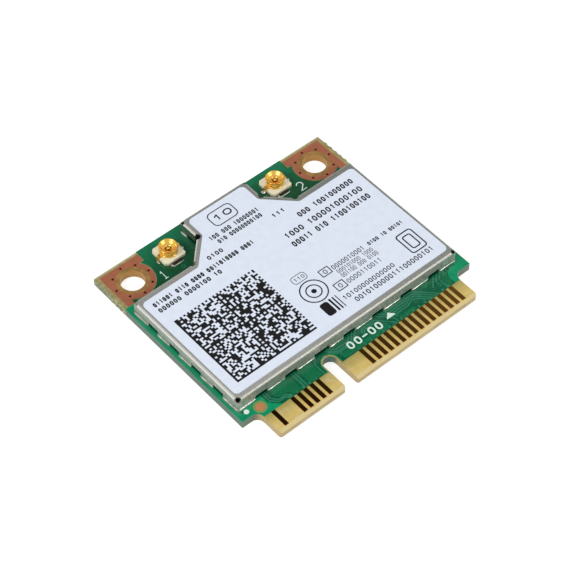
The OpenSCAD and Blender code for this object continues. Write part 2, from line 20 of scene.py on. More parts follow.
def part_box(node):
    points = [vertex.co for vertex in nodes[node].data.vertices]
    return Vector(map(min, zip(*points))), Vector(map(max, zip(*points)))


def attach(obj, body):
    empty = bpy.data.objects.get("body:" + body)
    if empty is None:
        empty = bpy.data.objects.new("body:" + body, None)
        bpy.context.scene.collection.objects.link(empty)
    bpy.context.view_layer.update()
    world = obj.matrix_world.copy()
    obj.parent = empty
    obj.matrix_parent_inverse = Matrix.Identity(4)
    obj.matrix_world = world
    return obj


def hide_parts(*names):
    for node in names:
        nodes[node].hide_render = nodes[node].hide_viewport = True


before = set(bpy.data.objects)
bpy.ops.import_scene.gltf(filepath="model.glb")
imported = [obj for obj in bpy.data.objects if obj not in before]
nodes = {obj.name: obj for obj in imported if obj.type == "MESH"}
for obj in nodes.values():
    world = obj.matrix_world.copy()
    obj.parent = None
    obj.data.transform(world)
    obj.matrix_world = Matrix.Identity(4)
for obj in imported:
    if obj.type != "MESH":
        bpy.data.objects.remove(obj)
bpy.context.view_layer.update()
print("nodes in the frame:", len(nodes))

# %% [markdown]
# ## Helpers that turn arrays into meshes
#
# Blender can build a mesh point by point in bmesh, but a surface is easier to
# read as a formula. So each shape here is an array of points on a grid, worked
# out at once, and one call puts it into a mesh. All sizes are written in
# millimetres, as the drawing has them, and become metres in that call.

# %% Points and faces into a piece
MM = 0.001


def as_rows(faces):
    """Faces as plain lists, which may differ in length."""
    return faces.tolist() if isinstance(faces, np.ndarray) else faces


def add_piece(name, part, material, stands_for=(), smooth=None, weld=False):
    """A part is (points in mm, faces). It becomes a mesh object at the origin that rides on the card.
    weld merges points that share a place, such as the many points at a pole."""
    points, faces = part
    mesh = bpy.data.meshes.new(name)
    mesh.from_pydata((np.asarray(points, float) * MM).tolist(), [], as_rows(faces))
    if weld:
        work = bmesh.new()
        work.from_mesh(mesh)
        bmesh.ops.remove_doubles(work, verts=work.verts, dist=2e-7)
        bmesh.ops.dissolve_degenerate(work, edges=work.edges, dist=1e-8)
        bmesh.ops.recalc_face_normals(work, faces=work.faces)
        work.to_mesh(mesh)
        work.free()
    if smooth is not None:
        mesh.shade_smooth()
        mesh.set_sharp_from_angle(angle=math.radians(smooth))
    mesh.materials.append(material)
    piece = bpy.data.objects.new(name, mesh)
    bpy.context.scene.collection.objects.link(piece)
    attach(piece, "root")
    if stands_for:
        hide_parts(*stands_for)
    print(f"{name}: {len(mesh.polygons)} faces")
    return piece


def grid_faces(rows, columns, wrap_rows=False, wrap_columns=False):
    """Four-cornered faces on a grid whose point (i, j) has number i * columns + j.
    A wrapped side joins its last line to its first."""
    i = np.arange(rows if wrap_rows else rows - 1)[:, None]
    j = np.arange(columns if wrap_columns else columns - 1)[None, :]
    i_next, j_next = (i + 1) % rows, (j + 1) % columns
    corners = np.broadcast_arrays(i * columns + j, i_next * columns + j,
                                  i_next * columns + j_next, i * columns + j_next)
    return np.stack(corners, -1).reshape(-1, 4)


def outward(points, faces):
    """Turns all faces round if the enclosed volume comes out negative. The volume is a sixth of the
    sum of the box product of each triangle's corners."""
    a, b, c, d = (points[faces[:, k]] for k in range(4))
    volume = (np.einsum("ij,ij->i", a, np.cross(b, c)) + np.einsum("ij,ij->i", a, np.cross(c, d))).sum()
    return faces if volume > 0 else faces[:, ::-1]


def together(parts):
    """Joins parts into one: each part's face numbers move on by the count of points before it."""
    points, faces, first = [], [], 0
    for p, f in parts:
        points.append(p)
        faces.extend([k + first for k in row] for row in as_rows(f))
        first += len(p)
    return np.concatenate(points), faces


def repeat(part, places):
    """One part of four-cornered faces, copied to every place (x, y, z) at once."""
    points, faces = part
    places = np.asarray(places, float).reshape(-1, 3)
    moved = (points[None] + places[:, None]).reshape(-1, 3)
    return moved, (faces[None] + (np.arange(len(places)) * len(points))[:, None, None]).reshape(-1, 4)


# %% [markdown]
# ## Four kinds of shape
#
# Almost everything on a circuit board is one of four things: a flat film with
# an outline, a strip along a path, a turned part, or a box. Each gets one
# function, so that the cells below only have to say where things are.

# %% Shapes as functions
def unit(v):
    """Vectors scaled to length 1."""
    return v / np.linalg.norm(v, axis=-1, keepdims=True)


def bent(corners, radius, closed=True, steps=5):
    """Swaps each corner for an arc. With h half the angle at the corner, the arc starts radius / tan(h)
    along each side, and its middle lies radius / sin(h) along the line that halves the angle."""
    c = np.asarray(corners, float)
    here, before, after = (c, np.roll(c, 1, 0), np.roll(c, -1, 0)) if closed else (c[1:-1], c[:-2], c[2:])
    u, v = unit(before - here), unit(after - here)
    h = np.arccos(np.clip((u * v).sum(1), -1, 1)) / 2
    room = np.minimum(np.linalg.norm(before - here, axis=1), np.linalg.norm(after - here, axis=1))
    r = np.minimum(radius, 0.48 * room * np.tan(h))
    middle = here + unit(u + v) * (r / np.sin(h))[:, None]
    start = here + u * (r / np.tan(h))[:, None] - middle
    turn = -np.sign(u[:, 0] * v[:, 1] - u[:, 1] * v[:, 0]) * (np.pi - 2 * h)
    a = np.arctan2(start[:, 1], start[:, 0])[:, None] + turn[:, None] * np.linspace(0, 1, steps + 1)
    arcs = (middle[:, None] + r[:, None, None] * np.stack([np.cos(a), np.sin(a)], -1)).reshape(-1, 2)
    return arcs if closed else np.vstack([c[:1], arcs, c[-1:]])


def arc(x, y, radius, start, stop, steps=16):
    """Points on a circle from one angle to another, in degrees."""
    a = np.radians(np.linspace(start, stop, steps))
    return np.stack([x + radius * np.cos(a), y + radius * np.sin(a)], 1)


def film(outline, bottom, top):
    """A flat film: the outline at the bottom and at the top, joined by a wall."""
    o = np.asarray(outline, float)
    x, y = o.T
    if (x * np.roll(y, -1) - y * np.roll(x, -1)).sum() < 0:
        o = o[::-1]
    n = len(o)
    points = np.vstack([np.column_stack([o, np.full(n, bottom)]), np.column_stack([o, np.full(n, top)])])
    k = np.arange(n)
    wall = np.stack([k, (k + 1) % n, (k + 1) % n + n, k + n], 1).tolist()
    return points, [k[::-1].tolist(), (k + n).tolist()] + wall


def strip(path, width, bottom, height, slope=0.02, closed=False):
    """A low strip with sloping sides along a flat path. At each point the side direction is across the
    mean of the two runs that meet there, stretched by 1 / cos(half the turn), so corners are mitred."""
    p = np.asarray(path, float)
    run = unit(np.roll(p, -1, 0) - p) if closed else unit(np.diff(p, axis=0))
    before = np.roll(run, 1, 0) if closed else np.vstack([run[:1], run])
    after = run if closed else np.vstack([run, run[-1:]])
    along = unit(before + after)
    half_turn = np.clip((along * after).sum(1), 0.5, None)
    side = np.stack([-along[:, 1], along[:, 0]], 1) / half_turn[:, None]
    half = np.broadcast_to(np.asarray(width, float) / 2, len(p))
    offset = np.stack([-half, slope - half, half - slope, half], 1)
    level = np.broadcast_to([bottom, bottom + height, bottom + height, bottom], offset.shape)
    flat = p[:, None] + side[:, None] * offset[..., None]
    points = np.concatenate([flat, level[..., None]], 2).reshape(-1, 3)
    faces = grid_faces(len(p), 4, closed, True)
    if not closed:
        last = 4 * (len(p) - 1)
        faces = np.vstack([faces, [[0, 1, 2, 3]], [[last + 3, last + 2, last + 1, last]]])
    return points, outward(points, faces)


def turned(profile, x, y, steps=48):
    """A turned part: the closed profile of (radius, height) at every angle round a standing axis."""
    r, z = np.asarray(profile, float).T
    a = np.linspace(0, 2 * np.pi, steps, endpoint=False)
    xs, ys = x + np.outer(np.cos(a), r), y + np.outer(np.sin(a), r)
    points = np.stack([xs, ys, np.broadcast_to(z, xs.shape)], -1).reshape(-1, 3)
    return points, outward(points, grid_faces(steps, len(r), True, True))


def boxes(corners, bottom, top):
    """Boxes on many rectangles (x0, y0, x1, y1) at once: each has four points below and four above."""
    x0, y0, x1, y1 = np.asarray(corners, float).reshape(-1, 4).T
    flat = np.stack([np.stack([x0, x1, x1, x0], 1), np.stack([y0, y0, y1, y1], 1)], -1)
    levels = [np.concatenate([flat, np.full(flat.shape[:2] + (1,), z)], -1) for z in (bottom, top)]
    points = np.concatenate(levels, 1).reshape(-1, 3)
    pattern = np.array([[3, 2, 1, 0], [4, 5, 6, 7], [0, 1, 5, 4], [1, 2, 6, 5], [2, 3, 7, 6], [3, 0, 4, 7]])
    return points, (np.arange(len(x0))[:, None, None] * 8 + pattern).reshape(-1, 4)


print("shapes: film, strip, turned, boxes")

# %% [markdown]
# ## Helpers for finishes
#
# A finish is a Principled shader with a few textures on it. The textures read
# Object coordinates, scaled so that 1 is a millimetre, so a grain size is
# written as it would be measured on the part, and it stays in place when the
# part moves. What is the same all over is set straight on the shader.

# %% Nodes by short calls
def tone(red, green, blue):
    """A colour as a screen shows it, 0 to 255, turned into the linear light that a shader works in."""
    c = np.array([red, green, blue]) / 255
    linear = np.where(c <= 0.04045, c / 12.92, ((c + 0.055) / 1.055) ** 2.4)
    return (*linear.tolist(), 1.0)


def finish(name, color, metallic=0.0, roughness=0.5, **sockets):
    """A new material with its plain values set on the shader."""
    made = bpy.data.materials.new(name)
    made.use_nodes = True
    shader = made.node_tree.nodes["Principled BSDF"]
    values = {"Base Color": color, "Metallic": metallic, "Roughness": roughness}
    values.update({key.replace("_", " "): value for key, value in sockets.items()})
    for key, value in values.items():
        shader.inputs[key].default_value = value
    return made


def node(mat, kind, inputs=(), **settings):
    """A node of that kind. inputs maps a socket's name or number to a value or to another node's output."""
    made = mat.node_tree.nodes.new("ShaderNode" + kind)
    for key, value in settings.items():
        setattr(made, key, value)
    for key, value in dict(inputs).items():
        if isinstance(value, bpy.types.NodeSocket):
            mat.node_tree.links.new(value, made.inputs[key])
        else:
            made.inputs[key].default_value = value
    return made


def spot(mat, stretch=(1, 1, 1)):
    """The place on the part in millimetres, pulled out along an axis where stretch is above 1."""
    where = node(mat, "TexCoord").outputs["Object"]
    scale = [1 / MM / s for s in stretch]
    return node(mat, "Mapping", {"Vector": where, "Scale": scale}).outputs[0]


def grain(mat, size, detail=3.0, stretch=(1, 1, 1), rough=0.55):
    """Noise from 0 to 1 whose lumps are about size millimetres wide."""
    inputs = {"Vector": spot(mat, stretch), "Scale": 1 / size, "Detail": detail, "Roughness": rough}
    return node(mat, "TexNoise", inputs).outputs[0]


def remap(mat, value, low, high, to_low=0.0, to_high=1.0):
    """Stretches a value from low..high to to_low..to_high, held at the ends."""
    inputs = {0: value, 1: low, 2: high, 3: to_low, 4: to_high}
    return node(mat, "MapRange", inputs).outputs[0]


def mixed(mat, share, first, second, mode="MIX"):
    """Two colours mixed by a share."""
    made = node(mat, "Mix", data_type="RGBA", blend_type=mode)
    for socket, value in ((0, share), (6, first), (7, second)):
        if isinstance(value, bpy.types.NodeSocket):
            mat.node_tree.links.new(value, made.inputs[socket])
        else:
            made.inputs[socket].default_value = value
    return made.outputs[2]


def patches(mat, size, first, second, low=0.35, high=0.65):
    """Two tones in soft patches about size millimetres wide. The closer low and high are, the sharper
    the patches' rims."""
    return mixed(mat, remap(mat, grain(mat, size), low, high), first, second)


def darkened(mat, base, share):
    """A colour times a share."""
    grey = node(mat, "CombineColor", {0: share, 1: share, 2: share}).outputs[0]
    return mixed(mat, 1.0, base, grey, "MULTIPLY")


def place_of(mat):
    """The place on the part in millimetres, as x, y and z."""
    return node(mat, "SeparateXYZ", {0: spot(mat)}).outputs


def facing_of(mat):
    """The direction that a face points in, as x, y and z."""
    return node(mat, "SeparateXYZ", {0: node(mat, "NewGeometry").outputs["Normal"]}).outputs


def away_from(mat, *point):
    """The distance in millimetres from one point (x, y, z) of the part."""
    return node(mat, "VectorMath", {0: spot(mat), 1: point}, operation="DISTANCE").outputs["Value"]


def sums(mat, operation, first, second=0.0):
    """One step of arithmetic."""
    return node(mat, "Math", {0: first, 1: second}, operation=operation).outputs[0]


def put(mat, socket, value):
    """Joins a value to one socket of the material's shader."""
    mat.node_tree.links.new(value, mat.node_tree.nodes["Principled BSDF"].inputs[socket])


def relief(mat, height, depth):
    """Bump from a height of 0 to 1 that stands depth millimetres high."""
    bump = node(mat, "Bump", {"Height": height, "Distance": depth * MM})
    put(mat, "Normal", bump.outputs[0])


def coat_nodes(material, *names):
    """Gives CAD nodes a finish in place of their plain one."""
    for name in names:
        slots = nodes[name].data.materials
        if len(slots) == 0:
            slots.append(material)
        for k in range(len(slots)):
            slots[k] = material


print("finish helpers ready")

# %% [markdown]
# ## The board's places
#
# The finishes and pieces below need a few places on the board. Those that a
# CAD node shows are measured from the frame. The rest are the drawing's sizes.

# %% Places in millimetres
board_low, board_high = (np.array(corner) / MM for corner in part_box("circuit_board"))
mask_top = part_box("top_solder_mask")[1].z / MM
label_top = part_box("label")[1].z / MM
MASK_FRONT = -10.825                       # the mask's front edge on the tongue
NOTCH = (-3.92, -10.12)                    # middle of the notch's round end
HOLE = (12.1, 10.575)                      # right hole; the left one is its mirror image
DISC = (-12.475, -9.69)                    # the copper disc near the front left corner
SOCKETS = {"left": (-7.175, 10.975), "right": (6.975, 10.975)}
LAND_TOP = 0.99                            # top of the copper lands under the solder
PLANE = 0.004                              # film that shows an inner plane
FOIL = 0.012                               # how far copper lifts the mask
INK = FOIL + 0.008                         # white ink, thick enough to cover the relief of the traces
PRINT = 0.008                              # ink on the label
print("mask top", round(mask_top, 3), "label top", round(label_top, 3))

# %% [markdown]
# ## Green solder mask
#
# The board's coat is a thin glossy epoxy ink. It is the same ink all over, but
# it looks different over each thing below it. Near the board's edges there is
# no copper inside, light passes through the laminate, and the coat glows a
# clear green. Over the inner copper planes it is dark. Over a copper pour or a
# trace on the outer face it is paler and duller, and stands a little higher.
# Under the can the ink is painted nearly black as painted shade. One function makes them
# all, so that they share their gloss and their slight unevenness.

# %% The greens
def mask_green(name, first, second, blotch=1.4, back=None):
    """Mask ink: two near tones in soft blotches, fine mottling, and a faint orange peel. Where back is
    given, the ink turns to that tone towards the board's back edge."""
    made = finish(name, first, roughness=0.2, Specular_IOR_Level=0.45)
    base = patches(made, blotch, first, second)
    if back:
        base = mixed(made, remap(made, place_of(made)[1], 9.8, 12.9), base, back)
    fine = remap(made, grain(made, 0.16, 4.0), 0.3, 0.7, 0.86, 1.12)
    put(made, "Base Color", darkened(made, base, fine))
    put(made, "Roughness", remap(made, grain(made, 0.5), 0.3, 0.7, 0.14, 0.26))
    relief(made, grain(made, 0.35, 2.0), 0.003)
    return made


clear_green = mask_green("mask_clear", tone(6, 134, 92), tone(14, 146, 100))
plane_green = mask_green("mask_over_planes", tone(2, 86, 59), tone(8, 94, 63))
pour_green = mask_green("mask_over_pour", tone(12, 109, 72), tone(22, 104, 67))
trace_green = mask_green("mask_over_trace", tone(28, 114, 84), tone(38, 124, 94))
bay_green = mask_green("mask_over_bay_pour", tone(14, 84, 54), tone(22, 76, 46), back=tone(26, 112, 78))
# painted shade: a nearly black green for the mask in the can's shade and in the vias' dimples
shade_green = mask_green("mask_painted_shade", tone(3, 34, 22), tone(5, 40, 26))
coat_nodes(clear_green, "top_solder_mask", "bottom_solder_mask")
print("mask finishes:", [m.name for m in bpy.data.materials if m.name.startswith("mask_")])

# %% [markdown]
# ## Glass-fibre laminate
#
# The board itself is woven glass in amber resin. From above, the weave shows
# as faint crossing bundles about half a millimetre wide. On the cut sides the
# glass layers lie as thin lines along the board, and beside the green coat the
# milled side looks grey green. The direction that a face points in tells the
# two apart, so one finish covers the whole node.

# %% Laminate from above and from the side
TONGUE = (-10.95, -12.4)                   # y limits between which one tone turns into the next
BEVEL_EDGE = (-12.86, -12.96)
BESIDE_HOLES = (8.0, 8.1)
BACK_EDGE = (13.16, 13.26)
SHOULDERS = (-10.4, -9.9)
SNAPPED = (7.9, 8.2)
RING_R, DISC_R = (2.0, 1.8), (0.85, 0.8)   # the same for the distance from a hole and from the disc


def laminate_top(made, weave, in_ring):
    """Amber: pale along the tongue's tip, grey beside the holes and palest along the back edge, brown
    round the holes and green round the disc."""
    y = place_of(made)[1]
    crossings = remap(made, weave, 0.15, 0.35)
    near = mixed(made, crossings, tone(156, 142, 78), tone(166, 156, 88))
    tip = mixed(made, crossings, tone(198, 172, 98), tone(208, 184, 112))
    top = mixed(made, remap(made, y, *TONGUE), near, tip)
    top = mixed(made, remap(made, grain(made, 1.1), 0.55, 0.75, 0.0, 0.35), top, tone(214, 206, 174))
    # paler on the milled bevel: partly its bare milled laminate, partly a painted highlight along its edge
    top = mixed(made, remap(made, y, *BEVEL_EDGE, 0.0, 0.55), top, tone(206, 194, 150))
    beside_holes = patches(made, 0.5, tone(132, 120, 76), tone(166, 154, 108), 0.3, 0.7)
    top = mixed(made, remap(made, y, *BESIDE_HOLES), top, beside_holes)
    top = mixed(made, remap(made, y, *BACK_EDGE), top, tone(196, 192, 168))
    ring = patches(made, 0.7, tone(130, 96, 48), tone(160, 122, 64))
    top = mixed(made, in_ring, top, ring)
    round_disc = remap(made, away_from(made, *DISC, 1.0), *DISC_R)
    return mixed(made, round_disc, top, tone(118, 148, 84))


def laminate_side(made, layers, in_ring):
    """Layered: amber on the tongue, grey green behind it, rough and paler where the card was snapped."""
    x, y, z = place_of(made)
    glass = remap(made, layers, 0.35, 0.65)
    tongue = mixed(made, glass, tone(176, 152, 96), tone(212, 192, 144))
    body_low = mixed(made, glass, tone(88, 104, 94), tone(106, 122, 112))
    body_high = mixed(made, glass, tone(62, 112, 94), tone(74, 124, 106))
    body = mixed(made, remap(made, z, 0.3, 0.95), body_low, body_high)
    snapped = patches(made, 0.35, tone(100, 112, 78), tone(170, 164, 130), 0.4, 0.6)
    body = mixed(made, remap(made, y, *SNAPPED, 0.0, 0.8), body, snapped)
    side = mixed(made, remap(made, y, *SHOULDERS), tongue, body)
    return mixed(made, in_ring, side, tone(192, 146, 80))


# %% Laminate as one finish
def laminate_finish():
    """The tones from above and from the side, mixed by the direction that a face points in. The weave
    is two crossed waves, and both it and the layers stand in relief."""
    made = finish("woven_laminate", tone(198, 184, 122), roughness=0.5, Specular_IOR_Level=0.4)
    weave = sums(made, "MULTIPLY", grain(made, 0.3, 2.0, (9, 1, 1)), grain(made, 0.3, 2.0, (1, 9, 1)))
    layers = grain(made, 0.12, 3.0, (12, 12, 1))
    to_holes = [away_from(made, side * HOLE[0], HOLE[1], 0.5) for side in (-1, 1)]
    in_ring = remap(made, sums(made, "MINIMUM", *to_holes), *RING_R)
    flat = remap(made, sums(made, "ABSOLUTE", facing_of(made)[2]), 0.3, 0.6)
    put(made, "Base Color", mixed(made, flat, laminate_side(made, layers, in_ring),
                                  laminate_top(made, weave, in_ring)))
    relief(made, sums(made, "ADD", weave, layers), 0.006)
    return made


coat_nodes(laminate_finish(), "circuit_board")
print("laminate done")

# %% [markdown]
# ## Metals of the board
#
# The corner pads and test pads are copper under a clear organic coat: a matte
# salmon colour, slightly patchy. The contacts are nickel and hard gold, rolled
# smooth, with fine streaks along their length from being pushed into a
# connector. The finish of each is a metal or half-metal shader with a grain
# that follows how the part was made.

# %% Copper, gold and solder
def copper_finish(name, first, second, fleck):
    """Matte coated copper: patchy salmon with a fine grain."""
    made = finish(name, first, metallic=0.25, roughness=0.5)
    flecks = remap(made, grain(made, 0.1), 0.45, 0.7, 0.0, 0.45)
    put(made, "Base Color", mixed(made, flecks, patches(made, 0.9, first, second), fleck))
    relief(made, grain(made, 0.08), 0.004)
    return made


def contact_finish():
    """Hard gold with streaks along Y."""
    made = finish("contact_gold", tone(232, 168, 74), metallic=1.0, roughness=0.2)
    streak = grain(made, 0.07, 3.0, (1, 22, 1))
    gold = mixed(made, remap(made, streak, 0.4, 0.7), tone(236, 172, 80), tone(196, 130, 56))
    put(made, "Base Color", gold)
    put(made, "Roughness", remap(made, streak, 0.3, 0.7, 0.06, 0.14))
    relief(made, streak, 0.0006)
    return made


def solder_finish():
    """Set solder: bright, with soft ripples."""
    made = finish("set_solder", tone(200, 200, 192), metallic=1.0, roughness=0.3)
    put(made, "Roughness", remap(made, grain(made, 0.2), 0.3, 0.7, 0.16, 0.42))
    relief(made, grain(made, 0.16, 2.0), 0.012)
    return made


copper = copper_finish("coated_copper", tone(172, 102, 72), tone(160, 94, 66), tone(140, 80, 56))
disc_copper = copper_finish("disc_copper", tone(208, 138, 92), tone(198, 130, 86), tone(176, 112, 74))
contact_gold, solder = contact_finish(), solder_finish()
dull_tin = finish("dull_tin", tone(92, 112, 96), metallic=0.3, roughness=0.5)
put(dull_tin, "Base Color", patches(dull_tin, 0.2, tone(70, 104, 84), tone(120, 132, 116), 0.4, 0.6))
liner = finish("via_liner", tone(120, 58, 40), metallic=0.6, roughness=0.45)
put(liner, "Roughness", remap(liner, grain(liner, 0.06), 0.3, 0.7, 0.35, 0.6))
coat_nodes(copper, "left_corner_pad", "right_corner_pad", "bottom_corner_pads", "test_pads")
coat_nodes(copper, "component_lands")
coat_nodes(disc_copper, "alignment_disc")
coat_nodes(solder, "socket_lands", "shield_solder", "socket_solder")
coat_nodes(dull_tin, "shield_lands")
coat_nodes(liner, "corner_via_liners")
coat_nodes(contact_gold, "top_contacts", "bottom_contacts")
print("copper, gold and solder done")

# %% [markdown]
# ## Tinned steel of the can
#
# The can is pressed from thin tinned sheet. Its skin is a satin grey with a
# fine speckle from the tin's grains and faint lines from the rolling mill,
# painted a little lighter along the lines as painted sheen. The speckle changes
# both the colour and the gloss, and a Bevel node softens the cut edges of the
# sheet, which would be too sharp to catch any light. Low on the outer walls,
# lighter specks are painted glints and greener specks a painted reflection of
# the board. The top is painted darker towards the right and the back as painted
# shade, the left bend is painted lighter as a painted highlight, and the small
# openings at the can's corners are painted black as painted shade.

# %% Tones of the can
PAINTED_SHADE_OPENINGS = [(-14.2, -8.47, 0.27), (13.88, -8.47, 0.25), (-4.17, 12.3, 0.17), (3.93, 12.3, 0.17),
           (-4.28, 9.76, 0.36), (-6.84, 7.26, 0.24), (4.06, 9.76, 0.3), (6.6, 7.26, 0.24)]
PAINTED_SHADE_Z = 2.33                            # height of the openings, painted black as shade; they are listed as x, y and radius
PAINTED_GLINT_Z, PAINTED_REFLECTION_Z = (2.15, 1.65), (2.3, 2.1)  # heights between which a look sets in
BEND, UNDER_BEND, ON_TOP = (2.24, 2.3), (2.42, 2.34), (2.44, 2.48)
FRONT = (7.6, 7.2)                         # y in front of which the outer walls get painted glints and a painted reflection of the board


def can_tone(made, speck, lines, front, left_bend_highlight):
    """Satin grey with speckle; low on the walls in front, lighter specks as painted glints and greener
    specks as a painted reflection of the board; rolling lines painted lighter as painted sheen; painted
    shade that darkens the top towards the right and the back; a painted highlight on the left bend;
    and painted shade that turns the openings black."""
    x, y, z = place_of(made)
    base = mixed(made, remap(made, speck, 0.36, 0.64), tone(150, 151, 146), tone(182, 183, 178))
    # painted glints: lighter specks low on the walls in front
    painted_glints = sums(made, "MULTIPLY", remap(made, z, *PAINTED_GLINT_Z), remap(made, speck, 0.44, 0.6, 0.1, 0.9))
    base = mixed(made, sums(made, "MULTIPLY", painted_glints, front), base, tone(212, 218, 208))
    # painted reflection of the board: greener grey specks low on the walls in front
    painted_board_reflection = remap(made, grain(made, 0.2, 4.0, rough=0.75), 0.5, 0.62, 0.0, 0.7)
    painted_board_reflection = sums(made, "MULTIPLY", painted_board_reflection, remap(made, z, *PAINTED_REFLECTION_Z))
    base = mixed(made, sums(made, "MULTIPLY", painted_board_reflection, front), base, tone(104, 116, 106))
    # painted sheen: the rolling lines are painted lighter as bright streaks
    base = mixed(made, remap(made, lines, 0.42, 0.62, 0.0, 0.4), base, tone(226, 228, 222))
    # painted shade: the top is darkened towards the right and the back
    far = sums(made, "ADD", remap(made, x, -8.0, 14.0), remap(made, y, -8.0, 7.0, 0.0, 0.5))
    painted_top_shade = sums(made, "MULTIPLY", remap(made, far, 0.0, 1.3, -0.12, 0.36), remap(made, z, *ON_TOP))
    base = darkened(made, base, sums(made, "SUBTRACT", 1.0, painted_top_shade))
    # painted highlight: the left bend is painted light grey
    base = mixed(made, left_bend_highlight, base, tone(226, 225, 219))
    # painted shade: each small opening at the can's corners is painted black
    for middle_x, middle_y, reach in PAINTED_SHADE_OPENINGS:
        away = away_from(made, middle_x, middle_y, PAINTED_SHADE_Z)
        base = mixed(made, remap(made, away, reach + 0.06, reach - 0.06), base, tone(16, 16, 14))
    return base


# %% Can finish
def can_finish():
    """Tinned sheet: the tone above, with more shine on the walls of the bays and on the left bend, and
    a relief of speckle and rolling lines that is all but gone where it shines."""
    made = finish("tinned_sheet", tone(166, 167, 162), metallic=0.6, roughness=0.38)
    x, y, z = place_of(made)
    speck, lines = grain(made, 0.1, 4.0, rough=0.7), grain(made, 0.05, 2.0, (1, 1, 14))
    front, wall = remap(made, y, *FRONT), remap(made, z, *UNDER_BEND)
    to_left = remap(made, facing_of(made)[0], -0.1, -0.4)
    # the left bend, which gets a painted highlight and more shine
    left_bend_highlight = sums(made, "MULTIPLY", remap(made, z, *BEND), to_left)
    put(made, "Base Color", can_tone(made, speck, lines, front, left_bend_highlight))
    mirror = sums(made, "MULTIPLY", wall, sums(made, "SUBTRACT", 1.0, front))
    mirror = sums(made, "MAXIMUM", mirror, left_bend_highlight)
    put(made, "Metallic", remap(made, mirror, 0.0, 1.0, 0.6, 0.92))
    put(made, "Roughness", sums(made, "SUBTRACT", remap(made, speck, 0.3, 0.7, 0.26, 0.46),
                                sums(made, "MULTIPLY", mirror, 0.16)))
    height = sums(made, "ADD", speck, sums(made, "MULTIPLY", lines, 0.8))
    height = sums(made, "MULTIPLY", height, remap(made, mirror, 0.0, 1.0, 1.0, 0.15))
    soft = node(made, "Bevel", {"Radius": 0.04 * MM}, samples=4)
    bump = node(made, "Bump", {"Height": height, "Distance": 0.006 * MM, "Normal": soft.outputs[0]})
    put(made, "Normal", bump.outputs[0])
    return made


coat_nodes(can_finish(), "shield_can", "crystal")
print("can done")

# %% [markdown]
# ## Label film and inks
#
# The label is a matte film with a faint blue cast. Its print and the board's
# white marks are inks. Each has a very fine unevenness, because a flat printed
# area on a real part is never quite one tone.

# %% Film and inks
def inked(name, first, second, size, roughness):
    """A printed or coated layer of two near tones."""
    made = finish(name, first, roughness=roughness, Specular_IOR_Level=0.3)
    put(made, "Base Color", patches(made, size, first, second))
    relief(made, grain(made, size * 0.4, 2.0), 0.003)
    return made


label_film = inked("label_film", tone(214, 223, 240), tone(219, 227, 243), 0.8, 0.5)
label_ink = inked("label_ink", tone(4, 4, 6), tone(10, 10, 13), 0.12, 0.5)
white_ink = inked("white_ink", tone(226, 240, 234), tone(206, 228, 218), 0.1, 0.55)
coat_nodes(label_film, "label")
print("film and inks done")

# %% [markdown]
# ## Socket plastic, socket gold, and what the can hides
#
# The sockets' bases are moulded in a cream plastic and their shells are
# plated in bright gold. The chips and small parts under the can are never
# seen, so each only gets the plain finish of its kind: black compound,
# tan ceramic with a fine grain, grey ferrite.

# %% The other finishes
cream_plastic = inked("cream_plastic", tone(232, 226, 200), tone(222, 214, 186), 0.25, 0.45)
bright_gold = finish("bright_gold", tone(246, 200, 104), metallic=1.0, roughness=0.3)
put(bright_gold, "Base Color", patches(bright_gold, 0.3, tone(248, 204, 108), tone(232, 178, 78), 0.4, 0.7))
put(bright_gold, "Roughness", remap(bright_gold, grain(bright_gold, 0.15), 0.3, 0.7, 0.24, 0.38))
compound = inked("moulding_compound", tone(34, 34, 37), tone(44, 44, 47), 0.09, 0.6)
ceramic = inked("ceramic_body", tone(196, 172, 142), tone(180, 156, 126), 0.2, 0.6)
ferrite = inked("ferrite_body", tone(112, 112, 114), tone(96, 96, 99), 0.15, 0.7)
# painted shade: the pin's tail is nearly black, standing in for the shade under the base's front edge
tail_painted_shade = inked("pin_tail_painted_shade", tone(30, 26, 22), tone(44, 38, 30), 0.1, 0.4)
coat_nodes(compound, "radio_chip", "left_amplifier", "right_amplifier")
coat_nodes(compound, "power_chip", "memory_chip", "resistors")
coat_nodes(ceramic, "antenna_filters", "capacitors")
coat_nodes(ferrite, "power_inductors")
print("other finishes done")

# %% [markdown]
# ## Inner planes and pours
#
# The board's inner copper stops about half a millimetre short of every edge
# and of the notch. Over it the mask is darker, so a very thin film with that
# outline lies on the mask. The pours on the outer face lie on the planes and
# stop short of the traces, with rounded corners as a board maker draws them.

# %% Dark planes
y_back = float(board_high[1]) - 0.02
front_planes = np.vstack([
    [(-11.62, -8.4), (13.7, -8.4), (13.7, -9.0)],
    arc(13.35, -10.35, 1.3, 75, 175, 12),
    [(12.1, -10.2), (12.1, MASK_FRONT), (NOTCH[0] + 1.0, MASK_FRONT)],
    arc(*NOTCH, 1.0, 0, 180),
    [(NOTCH[0] - 1.0, MASK_FRONT), (-10.6, MASK_FRONT), (-11.35, -10.1), (-11.62, -9.6)]])
bays = np.vstack([
    arc(-HOLE[0], HOLE[1], 2.44, -130, 32.8, 22),
    [(-9.56, 11.905), (-9.56, y_back), (9.56, y_back), (9.56, 11.905)],
    arc(HOLE[0], HOLE[1], 2.44, 147.2, 310, 22), [(13.6, 6.5), (-13.9, 6.5)]])
under_can = bent([(-14.38, -8.65), (14.06, -8.65), (14.06, 7.295), (6.62, 7.295), (4.1, 9.81),
                  (4.1, 12.495), (-4.34, 12.495), (-4.34, 9.81), (-6.86, 7.295), (-14.38, 7.295)],
                 0.05, steps=2)
add_piece("mask_over_planes", film(front_planes, mask_top, mask_top + PLANE), plane_green)
add_piece("mask_over_bays", film(bays, mask_top, mask_top + PLANE), bay_green)
above_foil = mask_top + PLANE + FOIL + 0.002
# painted shade: a nearly black film over the mask under the whole can, seen through the gaps in its walls
add_piece("mask_painted_shade", film(under_can, mask_top, above_foil), shade_green)

